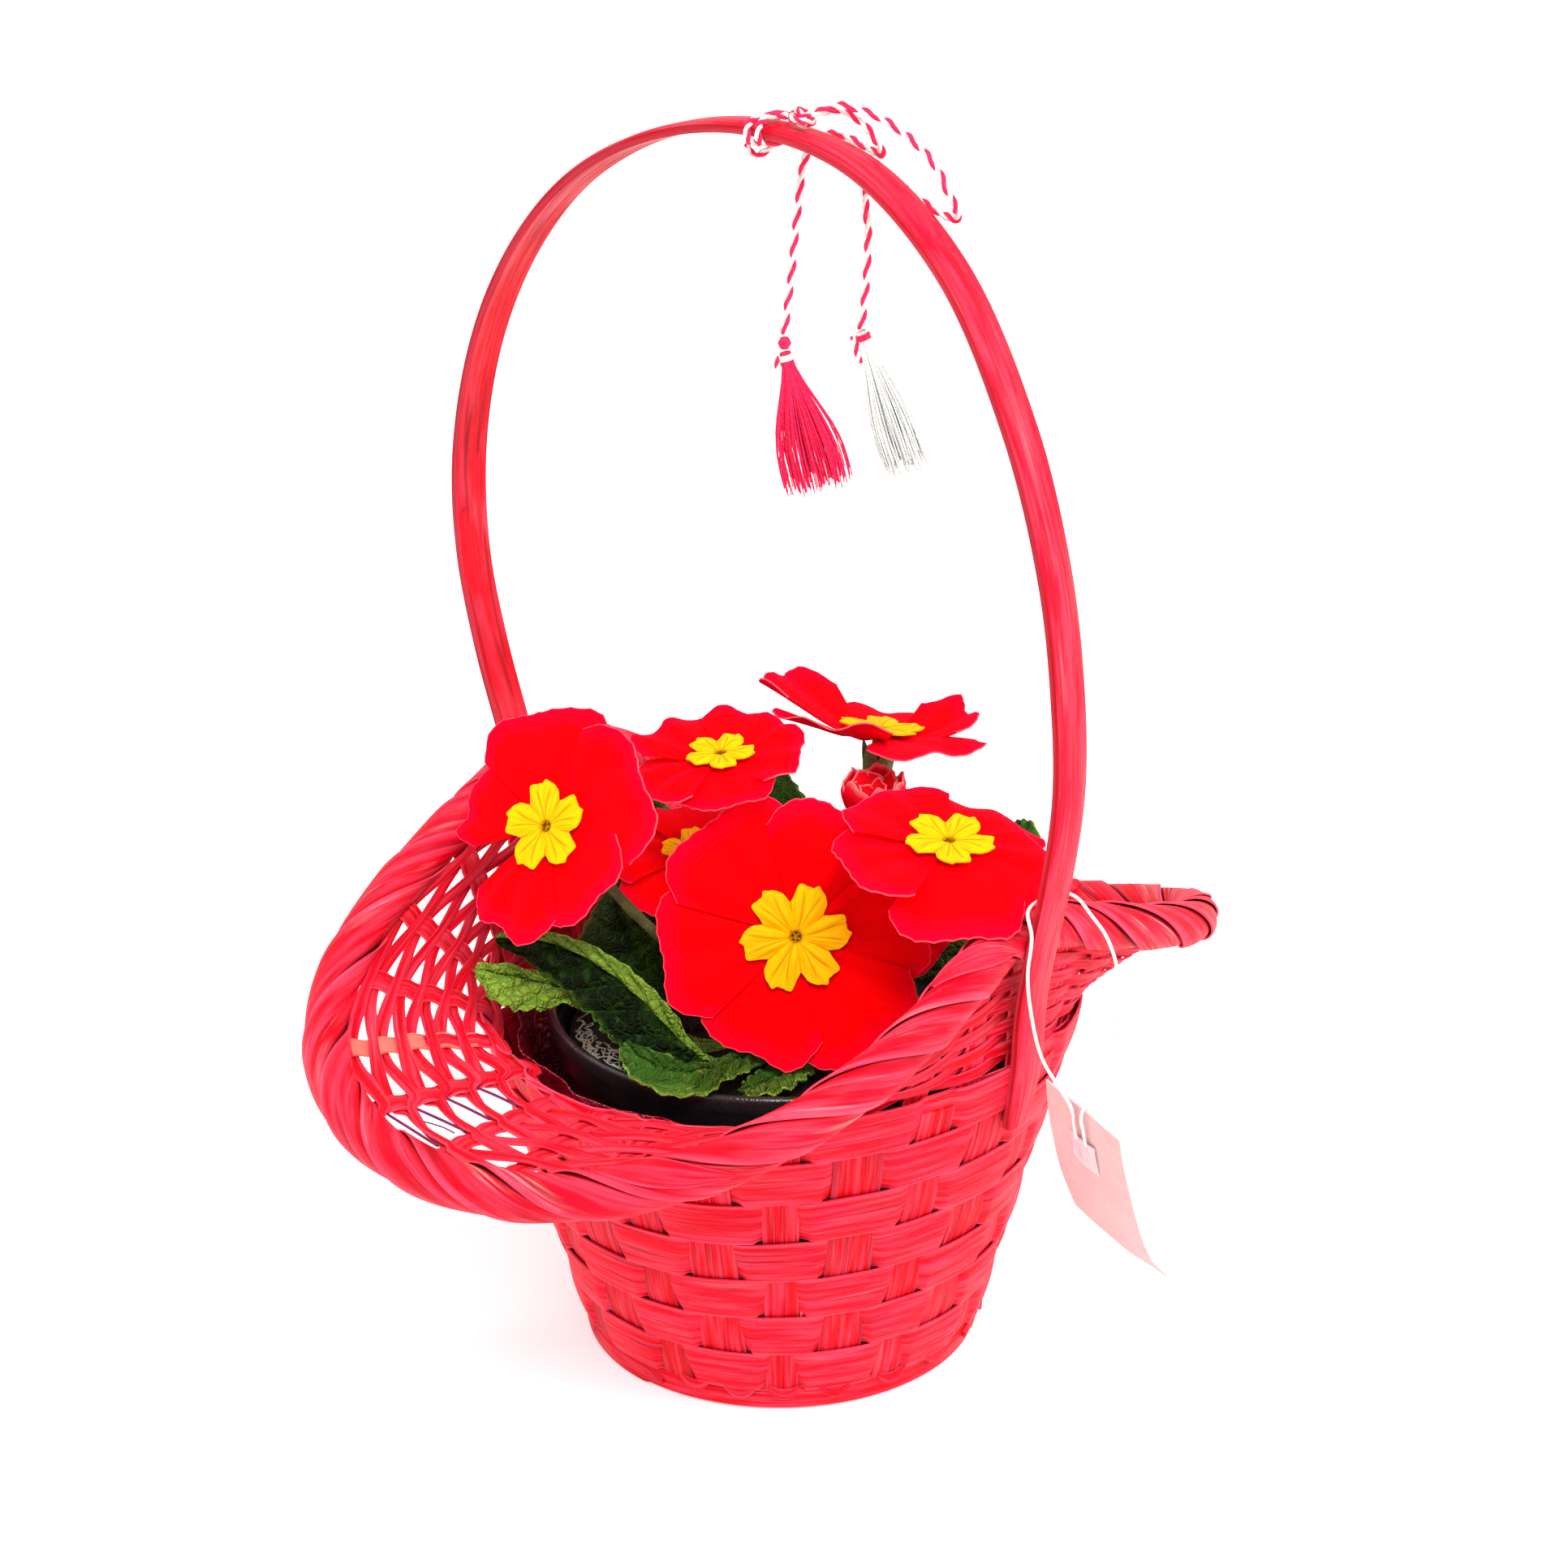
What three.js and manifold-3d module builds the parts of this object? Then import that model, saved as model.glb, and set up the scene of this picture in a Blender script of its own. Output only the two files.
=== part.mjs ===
// A potted primrose in a hat-shaped bamboo gift basket.
//
// Millimetres, +Z up. The origin is the middle of the basket's underside, on the surface that it
// stands on. The basket's long way, with its two drooping lobes, is X; the hoop handle stands in
// the YZ plane. Bearings are in degrees from +X towards +Y.

import * as THREE from 'three';
import { mergeVertices } from 'three/addons/utils/BufferGeometryUtils.js';
import Module from 'manifold-3d';

const wasm = await Module();
wasm.setup();

// ---------------------------------------------------------------- driving dimensions

const GAP = 0.3; // clearance between pieces that rest on each other

// basket
const STAKES = 24; // upright strips, alternately narrow and wide
const FIRST_STAKE = 220.5; // bearing of one narrow stake
const BUCKET_BASE_RADIUS = 42.6;
const BUCKET_SLOPE = 0.2745; // outward run of the wall per mm of height
const BUCKET_WALL = 3.3;
const BUCKET_FLOOR = 3;
const FOOT_BAND = 5.6; // height of the plain band round the foot
const WEAVE_ROWS = 7;
const WEAVE_PITCH = 0.1495; // one row's share of the height from foot band to neck
const NECK_HEIGHT = 75.5; // mean height of the neck, where the brim begins
const NECK_RISE = 2.5; // the neck is this much higher at the handle and lower at the lobes
const BRIM_THICKNESS = 1.8;
const BRIM_ROWS = 6; // rows of open cells in each lobe
const BRIM_STAKE = 3.2; // width of a stake in the brim
const BRIM_OPEN = 0.5; // part of a brim row that is open
const OPEN_COSINE = 0.5; // the weave opens up where |cos(bearing)| is above this
const RIM_RADIUS = 4.5; // thickness of the bound rim, as a radius
const RIM_BUMP = 0.35; // height of the ridges that its wrapping makes
const RIM_WRAPS = 30;

// handle
const STRAP_WIDTH = 9;
const STRAP_THICKNESS = 2.3;
const STRAP_LEAN = Math.tan(-5 * Math.PI / 180); // the hoop leans towards -X as it rises
const STRAP_LEAN_FROM = 75;

// pot
const POT_RIM_RADIUS = 50;
const POT_RIM_TOP = 76.9;
const POT_BASE_RADIUS = 35.5;
const POT_BASE = 4.6;
const POT_WALL = 1.3;
const SOIL_TOP = 71;
const CROWN_RADIUS = 11.4;
const CROWN_HEIGHT = 7;

// plant
const LEAF_THICKNESS = 0.9;
const PETAL_THICKNESS = 0.8;
const TUBE_RADIUS = 1.75; // the yellow corolla tube
const TUBE_LENGTH = 8.6;
const STEM_RADIUS = 1.15;

// cord and tag
const CORD_DIAMETER = 1.6;
const THREAD_DIAMETER = 0.8;
const CARD_THICKNESS = 0.7;

// colours
const DYED = { color: 0xe82850, roughness: 0.62 };
const LEAF = { color: 0x3c6e28, roughness: 0.65 };
const PETAL = { color: 0xe8001e, roughness: 0.55 };
const EYE = { color: 0xffc300, roughness: 0.55 };
const STEM = { color: 0x7d9a45, roughness: 0.6 };
const CORD = { color: 0xe9c7cb, roughness: 0.85 };

// ---------------------------------------------------------------- small tools

const part = new THREE.Group();
const rad = (degrees) => degrees * Math.PI / 180;
const vec = (x, y, z) => new THREE.Vector3(x, y, z);
const polar = (radius, degrees, z) => (
  vec(radius * Math.cos(rad(degrees)), radius * Math.sin(rad(degrees)), z)
);
const mix = (a, b, t) => a + (b - a) * t;

/** The unit vector at a bearing and an elevation, in degrees. */
function heading(bearing, elevation) {
  const level = Math.cos(rad(elevation));
  return vec(level * Math.cos(rad(bearing)), level * Math.sin(rad(bearing)), Math.sin(rad(elevation)));
}

/** Puts a body in the group under its name. */
function add(name, geometry, finish) {
  const material = new THREE.MeshStandardMaterial({ metalness: 0, ...finish });
  const mesh = new THREE.Mesh(geometry, material);
  mesh.name = name;
  part.add(mesh);
}

/** A geometry of shared points and triangles, turned so that its faces point out. */
function closedBody(points, triangles) {
  let volume = 0;
  for (const [a, b, c] of triangles) {
    volume += points[a].dot(points[b].clone().cross(points[c]));
  }
  const index = volume > 0 ? triangles.flat() : triangles.flatMap(([a, b, c]) => [a, c, b]);
  const geometry = new THREE.BufferGeometry();
  geometry.setAttribute('position', new THREE.Float32BufferAttribute(points.flatMap((p) => p.toArray()), 3));
  geometry.setIndex(index);
  return geometry;
}

/** A body through rings of equally many points; a ring of one point is a pole. */
function skin(rings, { loop = false } = {}) {
  const points = rings.flat();
  const starts = [];
  rings.reduce((start, ring) => (starts.push(start), start + ring.length), 0);
  const triangles = [];
  const pairs = loop ? rings.length : rings.length - 1;
  for (let k = 0; k < pairs; k++) {
    const next = (k + 1) % rings.length;
    const [low, high] = [rings[k], rings[next]];
    const count = Math.max(low.length, high.length);
    for (let i = 0; i < count; i++) {
      const j = (i + 1) % count;
      const [a, b] = [starts[k] + (low.length > 1 ? i : 0), starts[k] + (low.length > 1 ? j : 0)];
      const [c, d] = [starts[next] + (high.length > 1 ? i : 0), starts[next] + (high.length > 1 ? j : 0)];
      if (low.length > 1) triangles.push([a, b, c]);
      if (high.length > 1) triangles.push([b, d, c]);
    }
  }
  return closedBody(points, triangles);
}

/** A ring list closed at both ends by a pole in the middle of its first and last ring. */
function capped(rings) {
  const middle = (ring) => [ring.reduce((sum, p) => sum.add(p), vec(0, 0, 0)).divideScalar(ring.length)];
  return [middle(rings[0]), ...rings, middle(rings[rings.length - 1])];
}

/** A blade between two grids of points, split into triangles alike on both faces. */
function blade(upper, lower, isOpen = () => false, loopRows = false) {
  const rows = upper.length;
  const columns = upper[0].length;
  const points = [...upper.flat(), ...lower.flat()];
  const shift = rows * columns;
  const at = (i, j) => (i % rows) * columns + j;
  const triangles = [];
  const wall = (a, b) => triangles.push([a, b, b + shift], [a, b + shift, a + shift]);
  const rowCells = loopRows ? rows : rows - 1;
  const solidCell = (i, j) => {
    if (!loopRows && (i < 0 || i >= rowCells)) return false;
    return j >= 0 && j < columns - 1 && !isOpen((i + rowCells) % rowCells, j);
  };
  for (let i = 0; i < rowCells; i++) {
    for (let j = 0; j < columns - 1; j++) {
      if (!solidCell(i, j)) continue;
      const [a, b, c, d] = [at(i, j), at(i, j + 1), at(i + 1, j + 1), at(i + 1, j)];
      triangles.push([b, a, c], [c, a, d]);
      triangles.push([a + shift, b + shift, c + shift], [a + shift, c + shift, d + shift]);
      if (!solidCell(i, j - 1)) wall(d, a);
      if (!solidCell(i, j + 1)) wall(b, c);
      if (!solidCell(i - 1, j)) wall(a, b);
      if (!solidCell(i + 1, j)) wall(c, d);
    }
  }
  return closedBody(points, triangles);
}

/** A geometry as a manifold solid. */
function toSolid(geometry) {
  const bare = geometry.clone();
  bare.deleteAttribute('normal');
  bare.deleteAttribute('uv');
  const merged = mergeVertices(bare, 1e-5);
  return new wasm.Manifold(new wasm.Mesh({
    numProp: 3,
    vertProperties: new Float32Array(merged.attributes.position.array),
    triVerts: new Uint32Array(merged.index.array),
  }));
}

/** A manifold solid as a geometry, without the loose scraps that a cut may leave. */
function toGeometry(solid) {
  const largest = solid.decompose().reduce((a, b) => (b.volume() > a.volume() ? b : a));
  const mesh = largest.simplify(0.01).getMesh();
  const geometry = new THREE.BufferGeometry();
  geometry.setAttribute('position', new THREE.BufferAttribute(new Float32Array(mesh.vertProperties), 3));
  geometry.setIndex(new THREE.BufferAttribute(new Uint32Array(mesh.triVerts), 1));
  return geometry;
}

/** Several geometries joined into one body. */
function fused(geometries) {
  return toGeometry(geometries.map(toSolid).reduce((sum, solid) => sum.add(solid)));
}

/** A round tube along a list of points. */
function tube(points, diameter, steps, sides = 8) {
  const section = new THREE.Shape();
  for (let i = 0; i < sides; i++) {
    const angle = 2 * Math.PI * i / sides;
    const [x, y] = [diameter / 2 * Math.cos(angle), diameter / 2 * Math.sin(angle)];
    if (i === 0) section.moveTo(x, y);
    else section.lineTo(x, y);
  }
  section.closePath();
  const path = new THREE.CatmullRomCurve3(points, false, 'centripetal');
  return new THREE.ExtrudeGeometry(section, { steps, bevelEnabled: false, extrudePath: path });
}

/** Two unit vectors square to a direction. */
function across(direction) {
  const side = vec(0, 0, 1).cross(direction);
  if (side.length() < 1e-3) side.set(1, 0, 0);
  side.normalize();
  return [side, direction.clone().cross(side).normalize()];
}

// ---------------------------------------------------------------- basket

/** Height of the neck at a bearing. */
const neckHeight = (bearing) => NECK_HEIGHT - NECK_RISE * Math.cos(rad(2 * bearing));

/** Outer radius of the bucket at a height. */
const bucketRadius = (z) => BUCKET_BASE_RADIUS + BUCKET_SLOPE * z;

/** How far the weave stands out at a column and row: over a stake, the bare stake, between stakes. */
function weaveRelief(column, row) {
  if (column % 2 === 1) return -1.3;
  return (column / 2 + row) % 2 === 0 ? -0.6 : 0.3;
}

/** The woven bucket: a wall with the over-and-under of its wide weavers, on a flat floor. */
function bucket() {
  const columns = 2 * STAKES;
  const bearings = Array.from({ length: columns }, (_, c) => FIRST_STAKE + c * 360 / columns);
  const ring = (radiusAndHeight) => bearings.map((bearing, c) => {
    const [radius, z] = radiusAndHeight(bearing, c);
    return polar(radius, bearing, z);
  });
  const rowHeight = (bearing, step) => mix(FOOT_BAND, neckHeight(bearing), Math.min(1, step * WEAVE_PITCH));
  const rings = [[vec(0, 0, 0)], ring(() => [BUCKET_BASE_RADIUS - 0.4, 0])];
  rings.push(ring(() => [bucketRadius(FOOT_BAND) - 0.3, FOOT_BAND - 0.4]));
  for (let row = 0; row < WEAVE_ROWS; row++) {
    for (const edge of [0.06, 0.94]) {
      rings.push(ring((bearing, c) => {
        const z = rowHeight(bearing, row + edge);
        return [bucketRadius(z) + weaveRelief(c, row), z];
      }));
    }
  }
  rings.push(ring((bearing) => [bucketRadius(neckHeight(bearing)) - BUCKET_WALL, neckHeight(bearing)]));
  rings.push(ring(() => [bucketRadius(BUCKET_FLOOR) - BUCKET_WALL, BUCKET_FLOOR]));
  rings.push([vec(0, 0, BUCKET_FLOOR)]);
  return skin(rings);
}

/** The middle of the bound rim at a bearing: a saddle, pinched in at the handle. */
function rimPoint(bearing) {
  const t = rad(bearing);
  const radius = 86 + 17.4 * Math.cos(2 * t) - 3.7 * Math.cos(4 * t)
    - 1.5 * Math.sin(4 * t) + 1.3 * Math.sin(t);
  const height = 90.1 - 4.1 * Math.cos(t) - 22 * Math.cos(2 * t) - 1.2 * Math.sin(2 * t)
    - 3.6 * Math.sin(3 * t) + 1.1 * Math.cos(4 * t) - 1.6 * Math.sin(4 * t);
  return polar(radius, bearing, height);
}

/** A point of the brim, from its edge at the neck (0) to its edge at the rim (1). */
function brimPoint(bearing, t) {
  const z = neckHeight(bearing) + GAP;
  const start = polar(bucketRadius(z) - BUCKET_WALL / 2 - 0.4, bearing, z);
  const rim = rimPoint(bearing);
  const way = rim.clone().sub(start);
  const end = rim.clone().addScaledVector(way.normalize(), -(RIM_RADIUS + RIM_BUMP + GAP + 0.2));
  const point = start.lerp(end, t);
  point.z += 1.7 * Math.min(1, t / 0.06) * (1 - t);
  return point;
}

/** The open-work brim: stakes crossed by narrow weavers, with open cells in the two lobes. */
function brim() {
  const columnBearings = [];
  for (let s = 0; s < STAKES; s++) {
    const bearing = FIRST_STAKE + s * 360 / STAKES;
    const half = BRIM_STAKE / 2 / 80 * 180 / Math.PI;
    columnBearings.push(bearing - half, bearing + half);
  }
  const bands = [0];
  for (let row = 0; row < BRIM_ROWS; row++) {
    bands.push((row + 1 - BRIM_OPEN) / (BRIM_ROWS + 0.5), (row + 1) / (BRIM_ROWS + 0.5));
  }
  bands.push(1);
  const normalAt = (bearing, t) => {
    const along = brimPoint(bearing + 1, t).sub(brimPoint(bearing - 1, t));
    const out = brimPoint(bearing, Math.min(1, t + 0.05)).sub(brimPoint(bearing, Math.max(0, t - 0.05)));
    return out.cross(along).normalize().negate();
  };
  const face = (side) => columnBearings.map((bearing, c) => bands.map((t, b) => {
    const normal = b === 0 ? polar(-1, bearing, 0) : normalAt(bearing, t);
    const over = (Math.floor(c / 2) + Math.ceil(b / 2)) % 2 ? 1 : -1;
    const weave = b === 0 || b === bands.length - 1 ? 0 : 0.3 * over;
    return brimPoint(bearing, t).addScaledVector(normal, side * BRIM_THICKNESS / 2 + weave);
  }));
  const isOpen = (c, b) => {
    const between = (columnBearings[c] + columnBearings[(c + 1) % columnBearings.length]) / 2;
    return c % 2 === 1 && b % 2 === 1 && b < bands.length - 2
      && Math.abs(Math.cos(rad(c === columnBearings.length - 1 ? FIRST_STAKE - 7.5 : between))) > OPEN_COSINE;
  };
  return blade(face(1), face(-1), isOpen, true);
}

/** The rim: a roll of strips wound round and round, which raises slanting ridges. */
function rimBinding() {
  const segments = 2 * RIM_WRAPS;
  const sides = 8;
  const rings = [];
  for (let s = 0; s < segments; s++) {
    const bearing = s * 360 / segments;
    const direction = rimPoint(bearing + 1).sub(rimPoint(bearing - 1)).normalize();
    const [side, lift] = across(direction);
    rings.push(Array.from({ length: sides }, (_, k) => {
      const angle = 2 * Math.PI * k / sides;
      const radius = RIM_RADIUS + RIM_BUMP * Math.cos(2 * Math.PI * (s / 2 - k / sides));
      return rimPoint(bearing)
        .addScaledVector(side, radius * Math.cos(angle))
        .addScaledVector(lift, radius * Math.sin(angle));
    }));
  }
  return skin(rings, { loop: true });
}

// ---------------------------------------------------------------- handle

// The hoop's middle line as [y, z], from the front foot over the top to the back foot.
const HOOP = [
  [-62.6, 66], [-65.8, 79], [-68, 96], [-71.3, 110], [-74.9, 124], [-78.6, 144], [-79, 166],
  [-76.6, 190], [-69.4, 217], [-55.6, 244], [-36, 260.5], [-12, 265.6], [12, 262.3], [36, 251.4],
  [55, 234.2], [69.5, 212], [78.6, 186], [81, 162], [78.6, 141], [74.4, 122], [70.6, 106],
  [67.4, 90], [65.6, 79], [62.6, 66],
];

const strapX = (z) => STRAP_LEAN * (z - STRAP_LEAN_FROM);

/** The handle: one flat slat bent into a hoop, with its outer face slightly crowned. */
function handle() {
  const path = new THREE.CatmullRomCurve3(HOOP.map(([y, z]) => vec(strapX(z), y, z)), false, 'centripetal');
  const steps = 40;
  const half = STRAP_WIDTH / 2;
  const thick = STRAP_THICKNESS / 2;
  const section = [
    [-half, -thick], [half, -thick], [half, thick * 0.5],
    [half * 0.45, thick], [-half * 0.45, thick], [-half, thick * 0.5],
  ];
  const rings = [];
  for (let i = 0; i <= steps; i++) {
    const t = i / steps;
    const direction = path.getTangentAt(t);
    const out = vec(1, 0, 0).cross(direction).normalize().negate();
    const side = direction.clone().cross(out).normalize();
    if (out.dot(path.getPointAt(t).sub(vec(0, 0, 150))) < 0) out.negate();
    const foot = Math.min(1, 0.7 + 12 * Math.min(t, 1 - t));
    rings.push(section.map(([w, h]) => (
      path.getPointAt(t).addScaledVector(side, w * foot).addScaledVector(out, h)
    )));
  }
  return skin(capped(rings));
}

// ---------------------------------------------------------------- pot, liner and soil

/** A turned body from a closed or pole-to-pole profile of [radius, z]. */
function turned(profile, segments) {
  const rings = profile.map(([radius, z]) => (radius === 0
    ? [vec(0, 0, z)]
    : Array.from({ length: segments }, (_, i) => polar(radius, i * 360 / segments, z))));
  return skin(rings);
}

/** The plastic nursery pot with its two-step lip. */
function nurseryPot() {
  const shoulder = 68;
  const wallTop = POT_RIM_RADIUS - 3;
  return turned([
    [0, POT_BASE], [POT_BASE_RADIUS, POT_BASE], [wallTop, shoulder],
    [POT_RIM_RADIUS - 0.8, shoulder + 0.3], [POT_RIM_RADIUS - 0.6, shoulder + 4.6],
    [POT_RIM_RADIUS, shoulder + 5.2], [POT_RIM_RADIUS, POT_RIM_TOP - 0.5],
    [POT_RIM_RADIUS - 0.7, POT_RIM_TOP], [POT_RIM_RADIUS - 2, POT_RIM_TOP - 0.4],
    [wallTop - POT_WALL, shoulder],
    [POT_BASE_RADIUS - POT_WALL, POT_BASE + POT_WALL], [0, POT_BASE + POT_WALL],
  ], 28);
}

/** The peat that fills the pot, with a plain hole in its middle for the plant's crown. */
function soil() {
  const low = POT_BASE + POT_WALL + GAP;
  const wall = (z) => mix(POT_BASE_RADIUS, POT_RIM_RADIUS - 3, (z - POT_BASE) / 63.4);
  const inner = (z) => wall(z) - POT_WALL - GAP - 0.25;
  return turned([
    [0, low], [inner(low), low], [inner(66), 66], [inner(66) - 3, SOIL_TOP - 2.2], [30, SOIL_TOP - 0.6],
    [CROWN_RADIUS + 2.4, SOIL_TOP - 0.9], [CROWN_RADIUS + GAP + 0.3, SOIL_TOP - 1.6],
    [CROWN_RADIUS + GAP + 0.3, SOIL_TOP - 5], [0, SOIL_TOP - 5],
  ], 28);
}

/** The short rootstock that leaves and flower stems grow from. */
function crown() {
  const low = SOIL_TOP - 5 + GAP;
  const dome = [15, 38, 62].map((angle) => [
    CROWN_RADIUS * Math.cos(rad(angle)), SOIL_TOP - 1 + CROWN_HEIGHT * Math.sin(rad(angle)),
  ]);
  return turned([[0, low], [CROWN_RADIUS, low], [CROWN_RADIUS, SOIL_TOP - 1], ...dome,
    [0, SOIL_TOP - 1 + CROWN_HEIGHT]], 12);
}

/** A point just off the crown's dome, and the way that leads straight out of it. */
function crownSeat(bearing, elevation, clear = GAP + 0.1) {
  const [c, s] = [Math.cos(rad(elevation)), Math.sin(rad(elevation))];
  const out = polar(c / CROWN_RADIUS, bearing, s / CROWN_HEIGHT).normalize();
  const point = polar(CROWN_RADIUS * c, bearing, SOIL_TOP - 1 + CROWN_HEIGHT * s).addScaledVector(out, clear);
  return [point, out];
}

/** The crumpled film that lines the basket round the pot. */
function liner() {
  const segments = 36;
  const film = 0.7;
  const level = [
    { z: BUCKET_FLOOR + GAP, reach: 0, fold: 0 },
    { z: 40, reach: 1.3, fold: 1.0 },
    { z: 70.5, reach: 2.1, fold: 1.7 },
  ];
  const radiusAt = ({ z, reach, fold }, i) => bucketRadius(z) - BUCKET_WALL - GAP - reach
    + fold * Math.cos(2 * Math.PI * i * 12 / segments);
  const ring = (item, inset, lift) => Array.from({ length: segments }, (_, i) => (
    polar(radiusAt(item, i) - inset, i * 360 / segments, item.z + lift)));
  const floor = BUCKET_FLOOR + GAP;
  return skin([
    [vec(0, 0, floor)], ring(level[0], 0, 0), ring(level[1], 0, 0), ring(level[2], 0, 0),
    ring(level[2], film, 0), ring(level[1], film, 0), ring(level[0], film, film), [vec(0, 0, floor + film)],
  ]);
}

// ---------------------------------------------------------------- leaves

/**
 * A primrose leaf: a winged stalk that widens into a puckered blade with a scalloped edge.
 * It leaves the crown at `bearing` and `rise`, goes over `shoulder` and ends at `tip`.
 */
function leaf(shape) {
  const { bearing, rise, elbow, shoulder, tip, width } = shape;
  const { far = 1, starts = 0.14, widest = 0.62, fold = -0.18, roll = 0 } = shape;
  const [base, out] = crownSeat(bearing, rise);
  const lift = elbow ? vec(...elbow) : base.clone().addScaledVector(out, 7);
  const spine = new THREE.CubicBezierCurve3(base, lift, vec(...shoulder), vec(...tip));
  const rows = 9;
  const columns = 4;
  const level = vec(tip[0] - base.x, tip[1] - base.y, 0).normalize();
  const straightSide = vec(0, 0, 1).cross(level).normalize();
  const widthAt = (t) => {
    const wing = 1.6 + 1.7 * Math.sin(Math.PI * t);
    const grown = t < widest
      ? Math.max(0, (t - starts) / (widest - starts))
      : 1 + (t - widest) / (1.02 - widest);
    const bladeShape = Math.sin(Math.PI / 2 * grown);
    return Math.max(wing * (1 - t ** 6), width / 2 * bladeShape ** 0.8) + 0.5;
  };
  const grid = (face) => Array.from({ length: rows + 1 }, (_, i) => {
    const t = i / rows;
    const direction = spine.getTangentAt(t);
    const flatSide = elbow ? vec(-direction.y, direction.x, 0).normalize() : straightSide.clone();
    const side = flatSide.applyAxisAngle(direction, rad(roll * Math.min(1, 2 * t)));
    side.addScaledVector(direction, -side.dot(direction)).normalize();
    const up = direction.clone().cross(side).normalize();
    const scallop = i > 3 && i < rows ? 1 + 0.07 * (i % 2 ? 1 : -1) : 1;
    return Array.from({ length: columns + 1 }, (_, j) => {
      const u = 2 * j / columns - 1;
      const reach = widthAt(t) * (Math.abs(u) === 1 ? scallop : 1) * (u < 0 ? far : 1);
      const pucker = i > 2 && Math.abs(u) === 0.5 ? 0.8 * (i % 2 ? 1 : -1) : 0;
      const height = fold * reach * u * u * (t > 0.2 ? 1 : 0) + pucker - (u === 0 ? 0.5 : 0);
      return spine.getPointAt(t)
        .addScaledVector(side, u * reach)
        .addScaledVector(up, height + face * LEAF_THICKNESS / 2);
    });
  });
  return blade(grid(1), grid(-1));
}

const LEAVES = [
  {
    bearing: 182, rise: 16, elbow: [-40, -5.5, 75], shoulder: [-20, 15, 79.5], tip: [-56.5, 34.5, 92.5],
    width: 14, far: 0.3, starts: 0.64, widest: 0.86, roll: -44,
  },
  {
    bearing: 206, rise: 18, elbow: [-52, -19.5, 68], shoulder: [-31.5, 4.5, 101], tip: [-46, 38.5, 95],
    width: 20, far: 0.35, starts: 0.37, widest: 0.5, fold: 0, roll: -70,
  },
  {
    bearing: 142, rise: 50, elbow: [-12, 9, 80], shoulder: [-28, 19, 81], tip: [-21, 27, 104],
    width: 31, far: 0.66, starts: 0.3, widest: 0.6, roll: -71,
  },
  {
    bearing: 228, rise: 14, elbow: [-38, -19, 81], shoulder: [-54.5, -21, 79.5], tip: [-49, -1, 83.5],
    width: 12, far: 0.7, starts: 0.56, widest: 0.74, roll: -15,
  },
  {
    bearing: 260, rise: 20, elbow: [-8, -20, 74], shoulder: [-22, -24, 74.5], tip: [-38.5, -23, 75.2],
    width: 9, starts: 0.35, widest: 0.7,
  },
  { bearing: 288, rise: 14, shoulder: [8, -36, 84], tip: [8, -51, 89], width: 24 },
  { bearing: 316, rise: 14, shoulder: [36, -28, 98], tip: [57, -22, 104], width: 28 },
  { bearing: 346, rise: 36, shoulder: [26, -5, 98], tip: [46, -8, 109], width: 22 },
  { bearing: 15, rise: 12, shoulder: [40, 12, 88], tip: [62, 16, 84], width: 28 },
  { bearing: 48, rise: 30, shoulder: [22, 24, 100], tip: [30, 30, 115], width: 24 },
  { bearing: 80, rise: 14, shoulder: [14, 34, 92], tip: [16, 51, 101], width: 26 },
  { bearing: 112, rise: 40, shoulder: [0, 35, 100], tip: [-4.5, 42, 122], width: 22 },
];

// ---------------------------------------------------------------- flowers

/** The flower's own directions: right, up and out of its face. */
function flowerFrame({ at, face, spin = 0 }) {
  const out = heading(...face);
  const [side, lift] = across(out);
  const right = side.clone().applyAxisAngle(out, rad(spin));
  return { centre: vec(...at), out, right, up: lift.clone().applyAxisAngle(out, rad(spin)) };
}

/** Height of the corolla's middle surface above its throat. */
function dish(r, radius) {
  const beyond = Math.max(0, r / radius - 0.45);
  return 0.1 * r - radius * 0.22 * beyond * beyond;
}

/** One lobe of the corolla: a wedge with a notched, rounded end that slants over its neighbour. */
function petal(flower, frame, number) {
  const { radius, petals = 5, droop = 0, lobes = [] } = flower;
  const [stretch, lift] = lobes[number] ?? [1, 0];
  const middle = number * 360 / petals;
  const half = 180 / petals * 1.18;
  const stops = [-1, -0.5, 0, 0.5, 1];
  const ends = [0.8, 1, 0.94, 0.99, 0.78];
  const inner = TUBE_RADIUS + GAP;
  const levels = [0, 0.34, 0.7, 1];
  const grid = (side) => levels.map((level) => stops.map((u, k) => {
    const r = mix(inner, radius * ends[k] * stretch, level);
    const share = r / radius;
    const angle = rad(middle + u * half);
    const wave = 1.5 * u * share + 0.7 * share * Math.cos(3 * Math.PI * u + number);
    const height = dish(r, radius) + wave + lift * Math.max(0, share - 0.4) ** 1.3 * 1.9;
    const point = frame.centre.clone()
      .addScaledVector(frame.right, r * Math.cos(angle))
      .addScaledVector(frame.up, r * Math.sin(angle))
      .addScaledVector(frame.out, height + side * PETAL_THICKNESS / 2);
    point.z -= droop * share ** 2.2;
    return point;
  }));
  return blade(grid(1), grid(-1));
}

/** All the red lobes of one flower, joined round the throat. */
function corolla(flower) {
  const frame = flowerFrame(flower);
  const lobes = Array.from({ length: flower.petals ?? 5 }, (_, k) => petal(flower, frame, k));
  return fused(lobes);
}

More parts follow.
